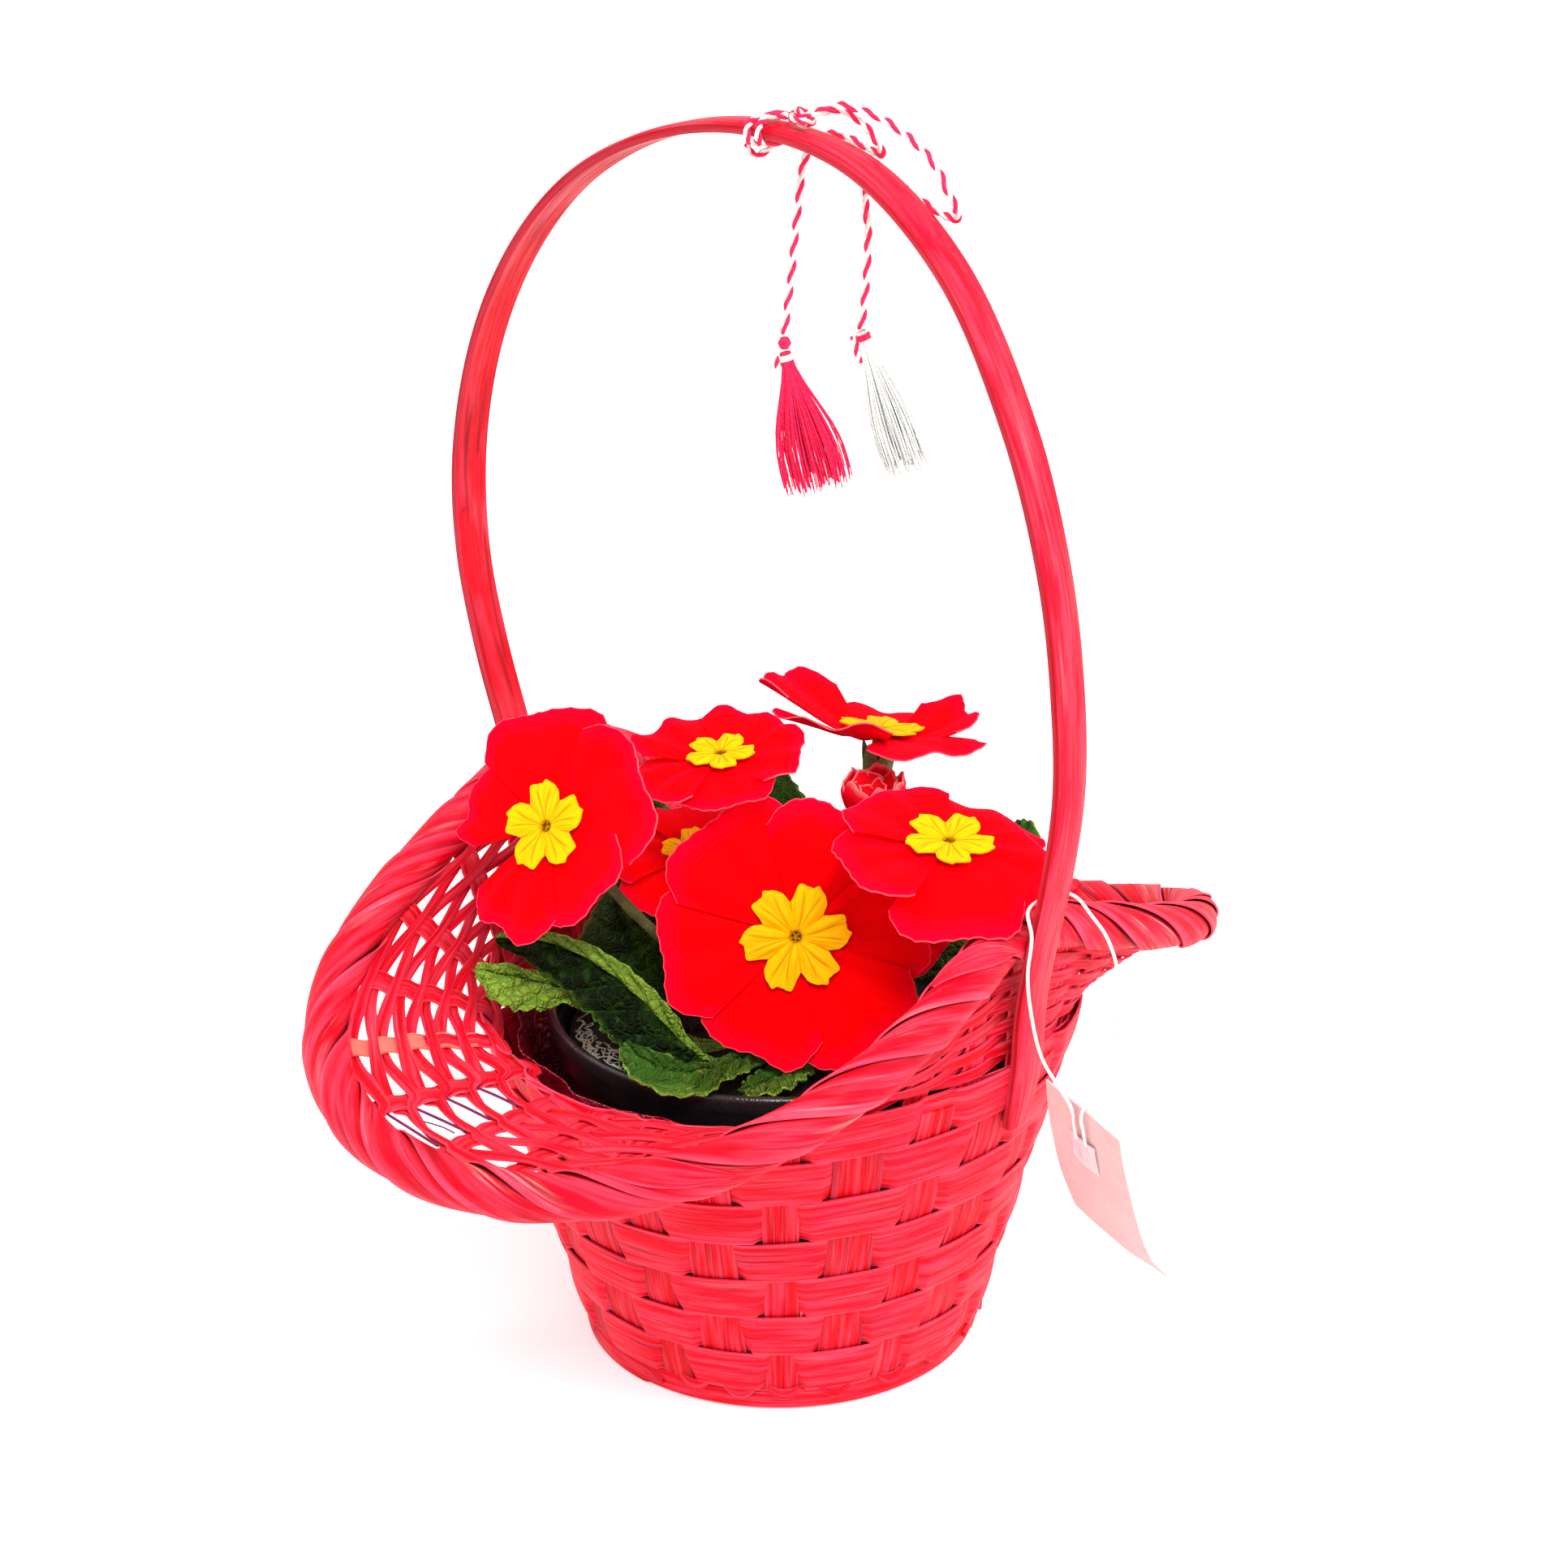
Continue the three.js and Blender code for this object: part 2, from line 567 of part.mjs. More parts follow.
/** The yellow star round the throat, with the corolla tube behind it. */
function eye(flower) {
  const frame = flowerFrame(flower);
  const { radius, petals = 5 } = flower;
  const star = radius * 0.38;
  const segments = 3 * petals;
  const outline = (i) => star * [0.66, 1, 1][i % 3];
  const bearingOf = (i) => {
    const lobe = Math.floor(i / 3) * 360 / petals;
    return lobe + [-180 / petals, -72 / petals, 72 / petals][i % 3];
  };
  const ring = (r, z) => Array.from({ length: segments }, (_, i) => {
    const angle = rad(bearingOf(i));
    const reach = r ?? outline(i);
    const seat = r === null ? dish(reach, radius) + 0.75 + 1.4 * reach / radius : 0;
    return frame.centre.clone()
      .addScaledVector(frame.right, reach * Math.cos(angle))
      .addScaledVector(frame.up, reach * Math.sin(angle))
      .addScaledVector(frame.out, z + seat);
  });
  const pole = (z) => [frame.centre.clone().addScaledVector(frame.out, z)];
  return skin([
    pole(-TUBE_LENGTH), ring(TUBE_RADIUS, -TUBE_LENGTH), ring(TUBE_RADIUS, 0.9),
    ring(null, 0), ring(null, 0.7), ring(1.2, 1.9), pole(-1),
  ]);
}

/** The flower's stalk, widening into the toothed green cup that holds the corolla tube. */
function stemAndCalyx(flower) {
  const frame = flowerFrame(flower);
  const sides = 6;
  const [base, out] = crownSeat(...flower.seat);
  const cupFloor = TUBE_LENGTH + GAP;
  const cup = frame.centre.clone().addScaledVector(frame.out, -cupFloor - 1.2);
  const path = new THREE.CubicBezierCurve3(
    base,
    base.clone().addScaledVector(out, 12),
    flower.bend ? vec(...flower.bend) : cup.clone().addScaledVector(frame.out, -12),
    cup,
  );
  const steps = 6;
  const rings = [];
  const ringAt = (centre, direction, radius, tooth = 0) => {
    const side = frame.right.clone().addScaledVector(direction, -frame.right.dot(direction)).normalize();
    const lift = direction.clone().cross(side);
    return Array.from({ length: sides }, (_, i) => {
      const angle = 2 * Math.PI * i / sides;
      return centre.clone()
        .addScaledVector(side, radius * Math.cos(angle))
        .addScaledVector(lift, radius * Math.sin(angle))
        .addScaledVector(direction, i % 2 ? tooth : 0);
    });
  };
  for (let i = 0; i <= steps; i++) {
    rings.push(ringAt(path.getPointAt(i / steps), path.getTangentAt(i / steps), STEM_RADIUS));
  }
  const along = (z, radius, tooth) => ringAt(
    frame.centre.clone().addScaledVector(frame.out, z), frame.out, radius, tooth);
  const bore = TUBE_RADIUS + GAP + 0.35;
  rings.push(along(-cupFloor + 0.6, 3.1), along(-1.6, 3.7, -1.6));
  rings.push(along(-1.7, bore), along(-cupFloor, bore));
  return skin(capped(rings));
}

const FLOWERS = [
  {
    name: 'flower_1', at: [-43.9, 23.7, 123], face: [-172, 29], radius: 24.5, spin: 36, droop: 1,
    seat: [174, 42], bend: [-36, 11, 101], lobes: [[1.1, 3], [1.1, 0], [0.9, -1], [0.97, 0], [0.88, 2]],
  },
  {
    name: 'flower_2', at: [-17.4, -19.7, 101.9], face: [-145, 19], radius: 29.5, petals: 6, spin: 10,
    seat: [236, 58], lobes: [[0.93, 0], [0.98, 0], [1.05, 0], [1, 0], [0.93, 0], [1, 0]],
  },
  {
    name: 'flower_3', at: [-3.8, -47.9, 124.6], face: [-116, 78], radius: 24, spin: 36, droop: 7,
    seat: [264, 50], bend: [9, -46, 98], lobes: [[1, 2], [1, 7], [1, 6], [1, 0], [0.92, 1]],
  },
  {
    name: 'flower_4', at: [-13.7, 3.7, 133.6], face: [-164, 81], radius: 19, spin: 15, droop: 2,
    seat: [285, 80], bend: [-4, -8, 108], lobes: [[0.95, 4], [1, 3], [1.05, 3], [1, 0], [0.92, -1]],
  },
  {
    name: 'flower_5', at: [33.5, -0.7, 126.1], face: [7, 79.5], radius: 24.5, spin: 12,
    seat: [10, 66], lobes: [[1.13, 8], [1.08, 5], [1.05, 1], [0.85, 9], [0.9, 1]],
  },
  { name: 'flower_6', at: [-10.9, 14.3, 108], face: [-139, 67], radius: 18, spin: 20, droop: 2, seat: [70, 72] },
  { name: 'flower_7', at: [12.5, -19.3, 97.3], face: [-122, 14], radius: 16.5, spin: 30, seat: [318, 62] },
];

const BUD = { at: [17.8, -11.5, 116.5], face: [-136, 83], radius: 7, seat: [345, 76] };

/** The half-open bud: a cup of upright lobes with an uneven edge. */
function budPetals() {
  const frame = flowerFrame(BUD);
  const sides = 10;
  const ring = (radius, z, wave = 0) => Array.from({ length: sides }, (_, i) => {
    const angle = 2 * Math.PI * i / sides;
    const bulge = radius * (i % 2 ? 0.88 : 1);
    return frame.centre.clone()
      .addScaledVector(frame.right, bulge * Math.cos(angle))
      .addScaledVector(frame.up, bulge * Math.sin(angle))
      .addScaledVector(frame.out, z + (i % 2 ? -wave : wave));
  });
  const pole = (z) => [frame.centre.clone().addScaledVector(frame.out, z)];
  return skin([pole(-TUBE_LENGTH), ring(TUBE_RADIUS, -TUBE_LENGTH), ring(TUBE_RADIUS, -1.5), ring(4.9, 0.4),
    ring(6.4, 4.5), ring(6.9, 8.4, 1.1), ring(5.2, 7.6, 0.7), ring(3.4, 4), pole(2.6)]);
}

// ---------------------------------------------------------------- twisted cord, tassels and tag

// The cord's knot sits on top of the hoop here.
const KNOT = vec(-16.4, -21.3, 268.2);
const WRAP_Y = -14.5;

/** The turn of cord round the handle, the knot and the small loop under it, as one body. */
function cordKnot() {
  const clear = GAP + 0.2 + CORD_DIAMETER / 2;
  const middle = vec(strapX(265.4), WRAP_Y, 265.45);
  const turns = 14;
  const sides = 6;
  const rings = Array.from({ length: turns }, (_, i) => {
    const angle = 2 * Math.PI * i / turns;
    const [c, s] = [Math.cos(angle), Math.sin(angle)];
    const width = (STRAP_WIDTH / 2 + clear) * Math.sign(c) * Math.abs(c) ** 0.6;
    const height = (STRAP_THICKNESS / 2 + clear) * Math.sign(s) * Math.abs(s) ** 0.6;
    const out = vec(c, 0, s * 1.6).normalize();
    return Array.from({ length: sides }, (_, k) => {
      const around = 2 * Math.PI * k / sides;
      return middle.clone().add(vec(width, 0, height))
        .addScaledVector(out, CORD_DIAMETER / 2 * Math.cos(around))
        .addScaledVector(vec(0, 1, 0), CORD_DIAMETER / 2 * Math.sin(around));
    });
  });
  const wrap = skin(rings, { loop: true });
  const knot = new THREE.SphereGeometry(1, 8, 5);
  knot.scale(3, 3.2, 1.7);
  knot.translate(KNOT.x, KNOT.y, KNOT.z);
  const bridge = tube([vec(middle.x, WRAP_Y, 267.75), vec(-16.8, -17.5, 268.2), KNOT], CORD_DIAMETER, 2, 6);
  const smallLoop = tube([
    vec(middle.x + 1, WRAP_Y + 0.4, 263.1), vec(-16.4, -12, 260.8),
    vec(-17.1, -9.8, 260.2), vec(-17.7, -8.8, 262.2),
  ], CORD_DIAMETER, 5, 6);
  return fused([wrap, knot, bridge, smallLoop]);
}

// Routes of the two cords: out of the knot, round a bow loop, behind the handle and down.
const RED_CORD = [
  vec(-14.9, -24.6, 269.4), vec(-14.6, -29.4, 270.2), vec(-14.2, -33.6, 268.4), vec(-12.6, -36, 264.9),
  vec(-9.8, -35, 261.9), vec(-9.5, -30, 263.2), vec(-9.7, -24.5, 264.6), vec(-10.4, -20, 263.6),
  vec(-11.9, -18.1, 259.4), vec(-12.8, -17.3, 251.3), vec(-13.4, -16.6, 243), vec(-13.8, -16.2, 237),
  vec(-14.3, -15.5, 230.5), vec(-14.6, -15.2, 226.2),
];
const WHITE_CORD = [
  vec(-17.3, -25, 269.4), vec(-16.6, -29.8, 271.4), vec(-15.3, -38.4, 270), vec(-15.1, -45.5, 267),
  vec(-15.7, -51.9, 262.9), vec(-15.6, -54.9, 258.4), vec(-13.2, -55, 254.8), vec(-10.1, -52.6, 252.2),
  vec(-9.7, -47.4, 253.2), vec(-9.9, -41, 256.2), vec(-10.3, -35.6, 258), vec(-11.2, -32.6, 255.4),
  vec(-11.3, -33, 246.9), vec(-11.6, -32.6, 236.2), vec(-12.1, -32, 229.2),
];
const TAG_THREAD = [
  vec(-8.4, -75.6, 88), vec(-10.6, -74.4, 97), vec(-11.8, -73.9, 107), vec(-10.9, -74, 115),
  vec(-8.6, -71.3, 118.9), vec(-4, -70.9, 119.8), vec(1.2, -71.1, 119.9), vec(2.7, -74.6, 119.2),
  vec(1.9, -78.8, 116.9),
  vec(1.9, -82.9, 113), vec(2, -85.6, 106.4), vec(1.9, -86.3, 96), vec(0.4, -85.6, 87),
];

/** A tassel: a bound head over a fan of threads with a ragged end. */
function tassel(top, bottom, spread) {
  const sides = 10;
  const axis = bottom.clone().sub(top).normalize();
  const wide = vec(0.648, -0.762, 0);
  wide.addScaledVector(axis, -wide.dot(axis)).normalize();
  const deep = axis.clone().cross(wide);
  const length = top.distanceTo(bottom);
  const ring = (t, w, d, ragged = 0) => Array.from({ length: sides }, (_, i) => {
    const angle = 2 * Math.PI * i / sides;
    const flute = i % 2 ? 0.8 : 1;
    return top.clone()
      .addScaledVector(axis, t * length + (i % 2 ? ragged : -ragged))
      .addScaledVector(wide, w * flute * Math.cos(angle))
      .addScaledVector(deep, d * flute * Math.sin(angle));
  });
  return skin(capped([
    ring(0, 1.3, 1.3), ring(0.12, 1.5, 1.5), ring(0.16, 1.2, 1.2),
    ring(0.5, spread * 0.62, 2), ring(0.8, spread * 0.9, 2.5), ring(1, spread, 2.7, 0.9),
  ]));
}

// The card's corners: top left, top right, bottom right, bottom left.
const CARD = [vec(-3.3, -73.1, 81), vec(-6, -93, 75.1), vec(19.8, -87.4, 29.5), vec(20, -65, 39.9)];

/** The card's middle surface: u along its top edge and v down it, with a slight bow. */
function cardPoint(u, v) {
  const top = CARD[0].clone().lerp(CARD[1], u);
  const bottom = CARD[3].clone().lerp(CARD[2], u);
  const normal = cardNormal();
  return top.lerp(bottom, v).addScaledVector(normal, 1.6 * Math.sin(Math.PI * v));
}

/** The way that the card's front faces. */
function cardNormal() {
  const normal = CARD[1].clone().sub(CARD[0]).cross(CARD[3].clone().sub(CARD[0])).normalize();
  return normal.dot(vec(-0.7, -0.6, 0.37)) > 0 ? normal : normal.negate();
}

/** A thin sheet on the card's surface between two corners in u and v, lifted off it by `lift`. */
function sheetOnCard([u0, v0], [u1, v1], lift, thickness, rows) {
  const face = (side) => Array.from({ length: rows + 1 }, (_, i) => [0, 1].map((j) => (
    cardPoint(mix(u0, u1, j), mix(v0, v1, i / rows))
      .addScaledVector(cardNormal(), lift + side * thickness / 2)
  )));
  return blade(face(1), face(-1));
}

// ---------------------------------------------------------------- assembly

add('basket_bucket', bucket(), DYED);
add('basket_brim', brim(), DYED);
add('rim_binding', rimBinding(), DYED);
add('handle', handle(), { color: 0xff4a72, roughness: 0.55 });
add('liner_film', liner(), { color: 0x3a0010, roughness: 0.25 });
add('nursery_pot', nurseryPot(), { color: 0x101012, roughness: 0.35 });
add('soil', soil(), { color: 0x2a1d14, roughness: 0.95 });
add('crown', crown(), { color: 0x6a6a3a, roughness: 0.8 });
LEAVES.forEach((shape, k) => add(`leaf_${k + 1}`, leaf(shape), LEAF));
for (const flower of FLOWERS) {
  add(`${flower.name}_petals`, corolla(flower), PETAL);
  add(`${flower.name}_eye`, eye(flower), EYE);
  add(`${flower.name}_stem`, stemAndCalyx(flower), STEM);
}
add('bud_petals', budPetals(), PETAL);
add('bud_stem', stemAndCalyx(BUD), STEM);
add('cord_knot', cordKnot(), CORD);
add('cord_red_end', tube(RED_CORD, CORD_DIAMETER, 22), CORD);
add('cord_white_end', tube(WHITE_CORD, CORD_DIAMETER, 27), CORD);
const bead = new THREE.SphereGeometry(1.35, 8, 6);
bead.translate(-14.65, -15.15, 224.4);
const beadShape = mergeVertices(bead.deleteAttribute('uv').deleteAttribute('normal'));
add('cord_bead', beadShape, { color: 0xc8102e, roughness: 0.8 });
const redTassel = tassel(vec(-14.6, -15.2, 222.6), vec(-10.3, -20.2, 195.7), 7);
add('tassel_red', redTassel, { color: 0xe0203c, roughness: 0.8 });
const whiteTassel = tassel(vec(-12.1, -32, 228.7), vec(-6.1, -39, 201.4), 4.4);
add('tassel_white', whiteTassel, { color: 0xf2f2ee, roughness: 0.8 });
add('tag_card', sheetOnCard([0, 0], [1, 1], 0, CARD_THICKNESS, 4), { color: 0xf0b8b8, roughness: 0.6 });
const tape = sheetOnCard([0.34, 0.2], [0.62, 0.36], CARD_THICKNESS + GAP, 0.6, 1);
add('tag_tape', tape, { color: 0xfafafa, roughness: 0.4 });
const threadLift = CARD_THICKNESS / 2 + GAP + THREAD_DIAMETER / 2 + 0.3;
const threadEnd = (u, v) => cardPoint(u, v).addScaledVector(cardNormal(), threadLift);
const threadRoute = [threadEnd(0.42, 0.19), threadEnd(0.41, 0.11), threadEnd(0.4, 0), ...TAG_THREAD,
  threadEnd(0.55, -0.02), threadEnd(0.54, 0.1), threadEnd(0.54, 0.19)];
add('tag_thread', tube(threadRoute, THREAD_DIAMETER, 27), { color: 0xf4f2f0, roughness: 0.7 });

export default part;
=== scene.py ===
"""A potted primrose in a hat-shaped bamboo gift basket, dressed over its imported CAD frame.

Lengths in this file are millimetres until a mesh is placed; Blender's scene is in metres.
The frame is the CAD's: +Z up, origin in the middle of the basket's underside, the basket's long
way along X, the hoop handle in the YZ plane. Bearings are degrees from +X towards +Y.
"""

import logging
import math
import random
from dataclasses import dataclass, field
from enum import Enum
from typing import Callable, Optional, Sequence, Union

import bpy
from mathutils import Matrix, Vector, noise

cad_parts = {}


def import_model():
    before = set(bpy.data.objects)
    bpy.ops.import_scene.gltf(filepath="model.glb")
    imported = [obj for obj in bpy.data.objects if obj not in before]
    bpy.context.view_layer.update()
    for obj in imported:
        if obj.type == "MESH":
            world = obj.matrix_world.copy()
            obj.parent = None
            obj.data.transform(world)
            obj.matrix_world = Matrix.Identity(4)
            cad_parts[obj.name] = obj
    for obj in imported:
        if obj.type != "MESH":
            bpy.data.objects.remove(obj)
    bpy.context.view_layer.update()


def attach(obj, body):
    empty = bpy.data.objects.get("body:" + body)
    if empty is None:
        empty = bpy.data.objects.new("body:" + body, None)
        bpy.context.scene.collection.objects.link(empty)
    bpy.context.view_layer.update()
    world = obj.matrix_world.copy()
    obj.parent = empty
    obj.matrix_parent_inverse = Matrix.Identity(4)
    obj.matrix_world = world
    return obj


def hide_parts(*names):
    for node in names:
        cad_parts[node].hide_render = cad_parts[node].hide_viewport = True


LOG = logging.getLogger("primrose")

MM = 0.001
Colour = tuple[float, float, float]
Place = Callable[[float, float], Vector]
Tone = Union[float, Callable[[float, float], float]]
Piece = bpy.types.Object
Material = bpy.types.Material
Node = bpy.types.Node
NodeTree = bpy.types.NodeTree
Socket = bpy.types.NodeSocket

# ---------------------------------------------------------------- driving dimensions, as in the CAD

STAKES = 24
STAKE_STEP = 360 / STAKES
FIRST_STAKE = 220.5
STAKE_CIRCLE = 57.0
BRIM_STAKES = 30
BRIM_STAKE = 150.0
BRIM_STEP = 360 / BRIM_STAKES
BRIM_WEAVERS = range(-1, 10)
BRIM_FIRST_SEAM = 0.055
BRIM_FIRST_ROW = 0.104
BRIM_PITCH = 0.0985
BUCKET_BASE_RADIUS = 42.6
BUCKET_SLOPE = 0.2745
BUCKET_WALL = 3.3
BUCKET_FLOOR = 3.0
FOOT_BAND = 5.6
WEAVE_ROWS = 7
WEAVE_PITCH = 0.1495
NECK_HEIGHT = 75.5
NECK_RISE = 2.5
RIM_RADIUS = 4.5
RIM_LENGTH = 570.0

STRAP_WIDTH = 9.0
STRAP_THICKNESS = 2.3
STRAP_LEAN = math.tan(math.radians(-5))
STRAP_LEAN_FROM = 75.0

POT_RIM_RADIUS = 50.0
POT_RIM_TOP = 76.9
POT_BASE_RADIUS = 35.5
POT_BASE = 4.6
POT_WALL = 1.3
POT_SHOULDER = 68.0
SOIL_TOP = 71.0
CROWN_RADIUS = 11.4
CROWN_HEIGHT = 7.0

TUBE_RADIUS = 1.75
TUBE_LENGTH = 8.6
STEM_RADIUS = 1.15
# Each anther's points: out from the flower's axis, swerve round it and height.
ANTHER = ((0.75, 0, 0.5), (0.95, 6, 1.3), (0.85, 10, 1.9))

CORD_DIAMETER = 1.6
THREAD_DIAMETER = 0.7

# ---------------------------------------------------------------- loose pieces of the basket

# Splinters that stand beside the stakes: bearing, low end and high end.
SLIVERS = (
    (225.2, 20.0, 27.5), (225.4, 34.5, 41.5), (201.0, 25.0, 31.5), (243.0, 41.0, 49.0), (256.2, 20.0, 26.5),
)
# Fibres off the rim: bearing, start and end as out from and above the rim's middle, radius and tone.
SPIKES = ((92, (6.6, 5.6), (4.8, 2.4), 0.2, -1.5), (91, (4.2, 0.4), (7.0, 6.0), 0.34, 0.2))
# Fibres across the brim's open cells: bearing and share of the first end, the same of the last, and radius.
BRIM_FIBRES = (
    (162.8, 0.40, 172.5, 0.31, 0.3), (163.0, 0.61, 173.0, 0.52, 0.3), (163.0, 0.82, 173.0, 0.70, 0.3),
    (163.2, 0.97, 173.5, 0.915, 0.3), (167.5, 0.83, 172.5, 0.76, 0.15), (176.0, 0.93, 184.0, 0.92, 0.12),
)
# Strip ends that lie loose along the rim: bearing, turn round it, reach in degrees and tone.
RIM_TIPS = ((-6, 60, 13, 0.95), (96, 30, 14, 0.5), (200, 70, 15, 0.8), (246, 50, 14, 1.0), (318, 40, 15, 0.7))
# The foot's strips: first bearing, reach in degrees, and height at both ends.
FOOT_STRIPS = ((150, 150, 2.6, 3.4), (285, 160, 3.3, 2.7), (70, 115, 3.2, 2.7))
# The bearings of the stake ends that curl over the foot.
FOOT_CURLS = (196, 209, 221, 235, 252, 268, 300, 30, 75, 130)


# ---------------------------------------------------------------- vectors and lines


def mix(a: float, b: float, t: float) -> float:
    """The value a share t of the way from a to b."""
    return a + (b - a) * t


def ramp(low: float, high: float, x: float) -> float:
    """A smooth step from 0 at low to 1 at high."""
    t = min(1.0, max(0.0, (x - low) / (high - low)))
    return t * t * (3 - 2 * t)


def cosine(degrees: float) -> float:
    """The cosine of an angle in degrees."""
    return math.cos(math.radians(degrees))


def sine(degrees: float) -> float:
    """The sine of an angle in degrees."""
    return math.sin(math.radians(degrees))


def polar(radius: float, bearing: float, z: float) -> Vector:
    """The point at a radius, a bearing in degrees and a height."""
    return Vector((radius * cosine(bearing), radius * sine(bearing), z))


def shares(steps: int) -> list[float]:
    """The shares from 0 to 1 in even steps."""
    return [i / steps for i in range(steps + 1)]


def saw(x: float, shift: float = 0.5) -> float:
    """A pointed wave: 0 at whole numbers and 1 halfway between them, unless shifted."""
    return abs((x + shift) % 1.0 - 0.5) * 2


def swung(centre: Vector, side: Vector, lift: Vector, radius: float, degrees: float) -> Vector:
    """The point at a radius and an angle round a centre, in the plane of two directions."""
    return centre + side * (radius * cosine(degrees)) + lift * (radius * sine(degrees))


def apart(a: float, b: float) -> float:
    """The angle between two bearings, in degrees."""
    return abs((a - b + 180) % 360 - 180)


def heading(bearing: float, elevation: float) -> Vector:
    """The unit vector at a bearing and an elevation, in degrees."""
    level = cosine(elevation)
    return Vector((level * cosine(bearing), level * sine(bearing), sine(elevation)))


def turn(vector: Vector, axis: Vector, degrees: float) -> Vector:
    """A vector turned about an axis."""
    return Matrix.Rotation(math.radians(degrees), 3, axis) @ vector


def wobble(x: float, y: float, z: float = 0.0) -> float:
    """Smooth noise between about -1 and 1, the same on each run."""
    return noise.noise(Vector((x + 0.37, y + 0.71, z + 0.13)))


def through(points: Sequence[Vector], per_span: int = 16) -> list[Vector]:
    """A centripetal Catmull-Rom line through points, as three.js draws it.

    Args:
        points: the points that the line passes.
        per_span: how many steps lie between two of them.

    Returns:
        The line's own points.
    """
    ends = [points[0] * 2 - points[1], *points, points[-1] * 2 - points[-2]]
    line = []
    for k in range(1, len(ends) - 2):
        before, start, stop, after = ends[k - 1:k + 3]
        gaps = [max(1e-4, (b - a).length ** 0.5) for a, b in ((before, start), (start, stop), (stop, after))]
        lead = (start - before) / gaps[0] - (stop - before) / (gaps[0] + gaps[1]) + (stop - start) / gaps[1]
        tail = (stop - start) / gaps[1] - (after - start) / (gaps[1] + gaps[2]) + (after - stop) / gaps[2]
        lead, tail = lead * gaps[1], tail * gaps[1]
        for i in range(per_span):
            t = i / per_span
            square, cube = t * t, t * t * t
            rise = (stop * 3 - start * 3 - lead * 2 - tail) * square
            line.append(start + lead * t + rise + (start * 2 - stop * 2 + lead + tail) * cube)
    line.append(points[-1].copy())
    return line


def bezier(a: Vector, b: Vector, c: Vector, d: Vector, steps: int = 60) -> list[Vector]:
    """The points of a cubic Bezier line."""
    line = []
    for t in shares(steps):
        s = 1 - t
        line.append(a * s ** 3 + b * (3 * s * s * t) + c * (3 * s * t * t) + d * t ** 3)
    return line


class Line:
    """A line that is read by its share of the length."""

    def __init__(self, points: Sequence[Vector]) -> None:
        """Measures the line.

        Args:
            points: the points that the line joins, close together.
        """
        self.points = list(points)
        self.sums = [0.0]
        for a, b in zip(self.points, self.points[1:]):
            self.sums.append(self.sums[-1] + (b - a).length)
        self.length = self.sums[-1]

    def at(self, share: float) -> Vector:
        """The point at a share of the length."""
        goal = min(1.0, max(0.0, share)) * self.length
        low, high = 0, len(self.sums) - 1
        while high - low > 1:
            middle = (low + high) // 2
            if self.sums[middle] <= goal:
                low = middle
            else:
                high = middle
        span = max(1e-9, self.sums[high] - self.sums[low])
        return self.points[low].lerp(self.points[high], (goal - self.sums[low]) / span)

    def tangent(self, share: float) -> Vector:
        """The unit direction at a share of the length."""
        return (self.at(share + 0.004) - self.at(share - 0.004)).normalized()

    def even(self, steps: int) -> list[Vector]:
        """The line's points, evenly spaced."""
        return [self.at(t) for t in shares(steps)]


def carried_frames(points: Sequence[Vector]) -> list[tuple[Vector, Vector]]:
    """Two directions square to a line at each point, carried along it without twist.

    Args:
        points: the line's points.

    Returns:
        A side and a lift direction for each point.
    """
    frames = []
    side = None
    for i in range(len(points)):
        tangent = (points[min(i + 1, len(points) - 1)] - points[max(i - 1, 0)]).normalized()
        if side is None:
            seed = Vector((0, 0, 1)) if abs(tangent.z) < 0.9 else Vector((1, 0, 0))
            side = seed.cross(tangent)
        side = (side - tangent * side.dot(tangent)).normalized()
        frames.append((side.copy(), tangent.cross(side).normalized()))
    return frames


# ---------------------------------------------------------------- mesh making


def deselect() -> None:
    """Leaves nothing selected."""
    bpy.ops.object.select_all(action="DESELECT")


def choose(piece: Piece) -> None:
    """Makes one piece the selected and active object."""
    deselect()
    piece.select_set(True)
    bpy.context.view_layer.objects.active = piece


def sheet(
    name: str,
    columns: int,
    rows: int,
    place: Place,
    uv: tuple[float, float] = (1.0, 1.0),
    tone: Tone = 0.5,
    edge: Optional[Tone] = None,
    uv_start: float = 0.0,
) -> Piece:
    """A grid whose points are placed by a rule.

    Its normal is the way of rising u crossed with the way of rising v.

    Args:
        name: the object's name.
        columns: cells along u.
        rows: cells along v.
        place: gives a point in millimetres for u and v from 0 to 1.
        uv: how far the UV map reaches, in millimetres where it follows real lengths.
        tone: the value of the tone attribute, or a rule for it.
        edge: the same for the edge attribute, which else rises from 0 in the middle to 1 at both sides.
        uv_start: where the UV map's u starts, so that pieces differ in their grain.

    Returns:
        The new object, at the origin.
    """
    deselect()
    bpy.ops.mesh.primitive_grid_add(x_subdivisions=columns, y_subdivisions=rows, size=1, location=(0, 0, 0))
    piece = bpy.context.object
    piece.name = piece.data.name = name
    mesh = piece.data
    mesh.attributes.new("tone", "FLOAT", "POINT")
    mesh.attributes.new("edge", "FLOAT", "POINT")
    tones, edges = mesh.attributes["tone"].data, mesh.attributes["edge"].data
    for index, vertex in enumerate(mesh.vertices):
        u, v = vertex.co.x + 0.5, vertex.co.y + 0.5
        tones[index].value = tone(u, v) if callable(tone) else tone
        edges[index].value = edge(u, v) if callable(edge) else abs(2 * u - 1)
        vertex.co = place(u, v) * MM
    for corner in mesh.uv_layers.active.data:
        corner.uv = (corner.uv[0] * uv[0] + uv_start, corner.uv[1] * uv[1])
    return piece


def paint(piece: Piece, *materials: Material) -> Piece:
    """Adds materials to a piece and returns it."""
    for material in materials:
        piece.data.materials.append(material)
    return piece


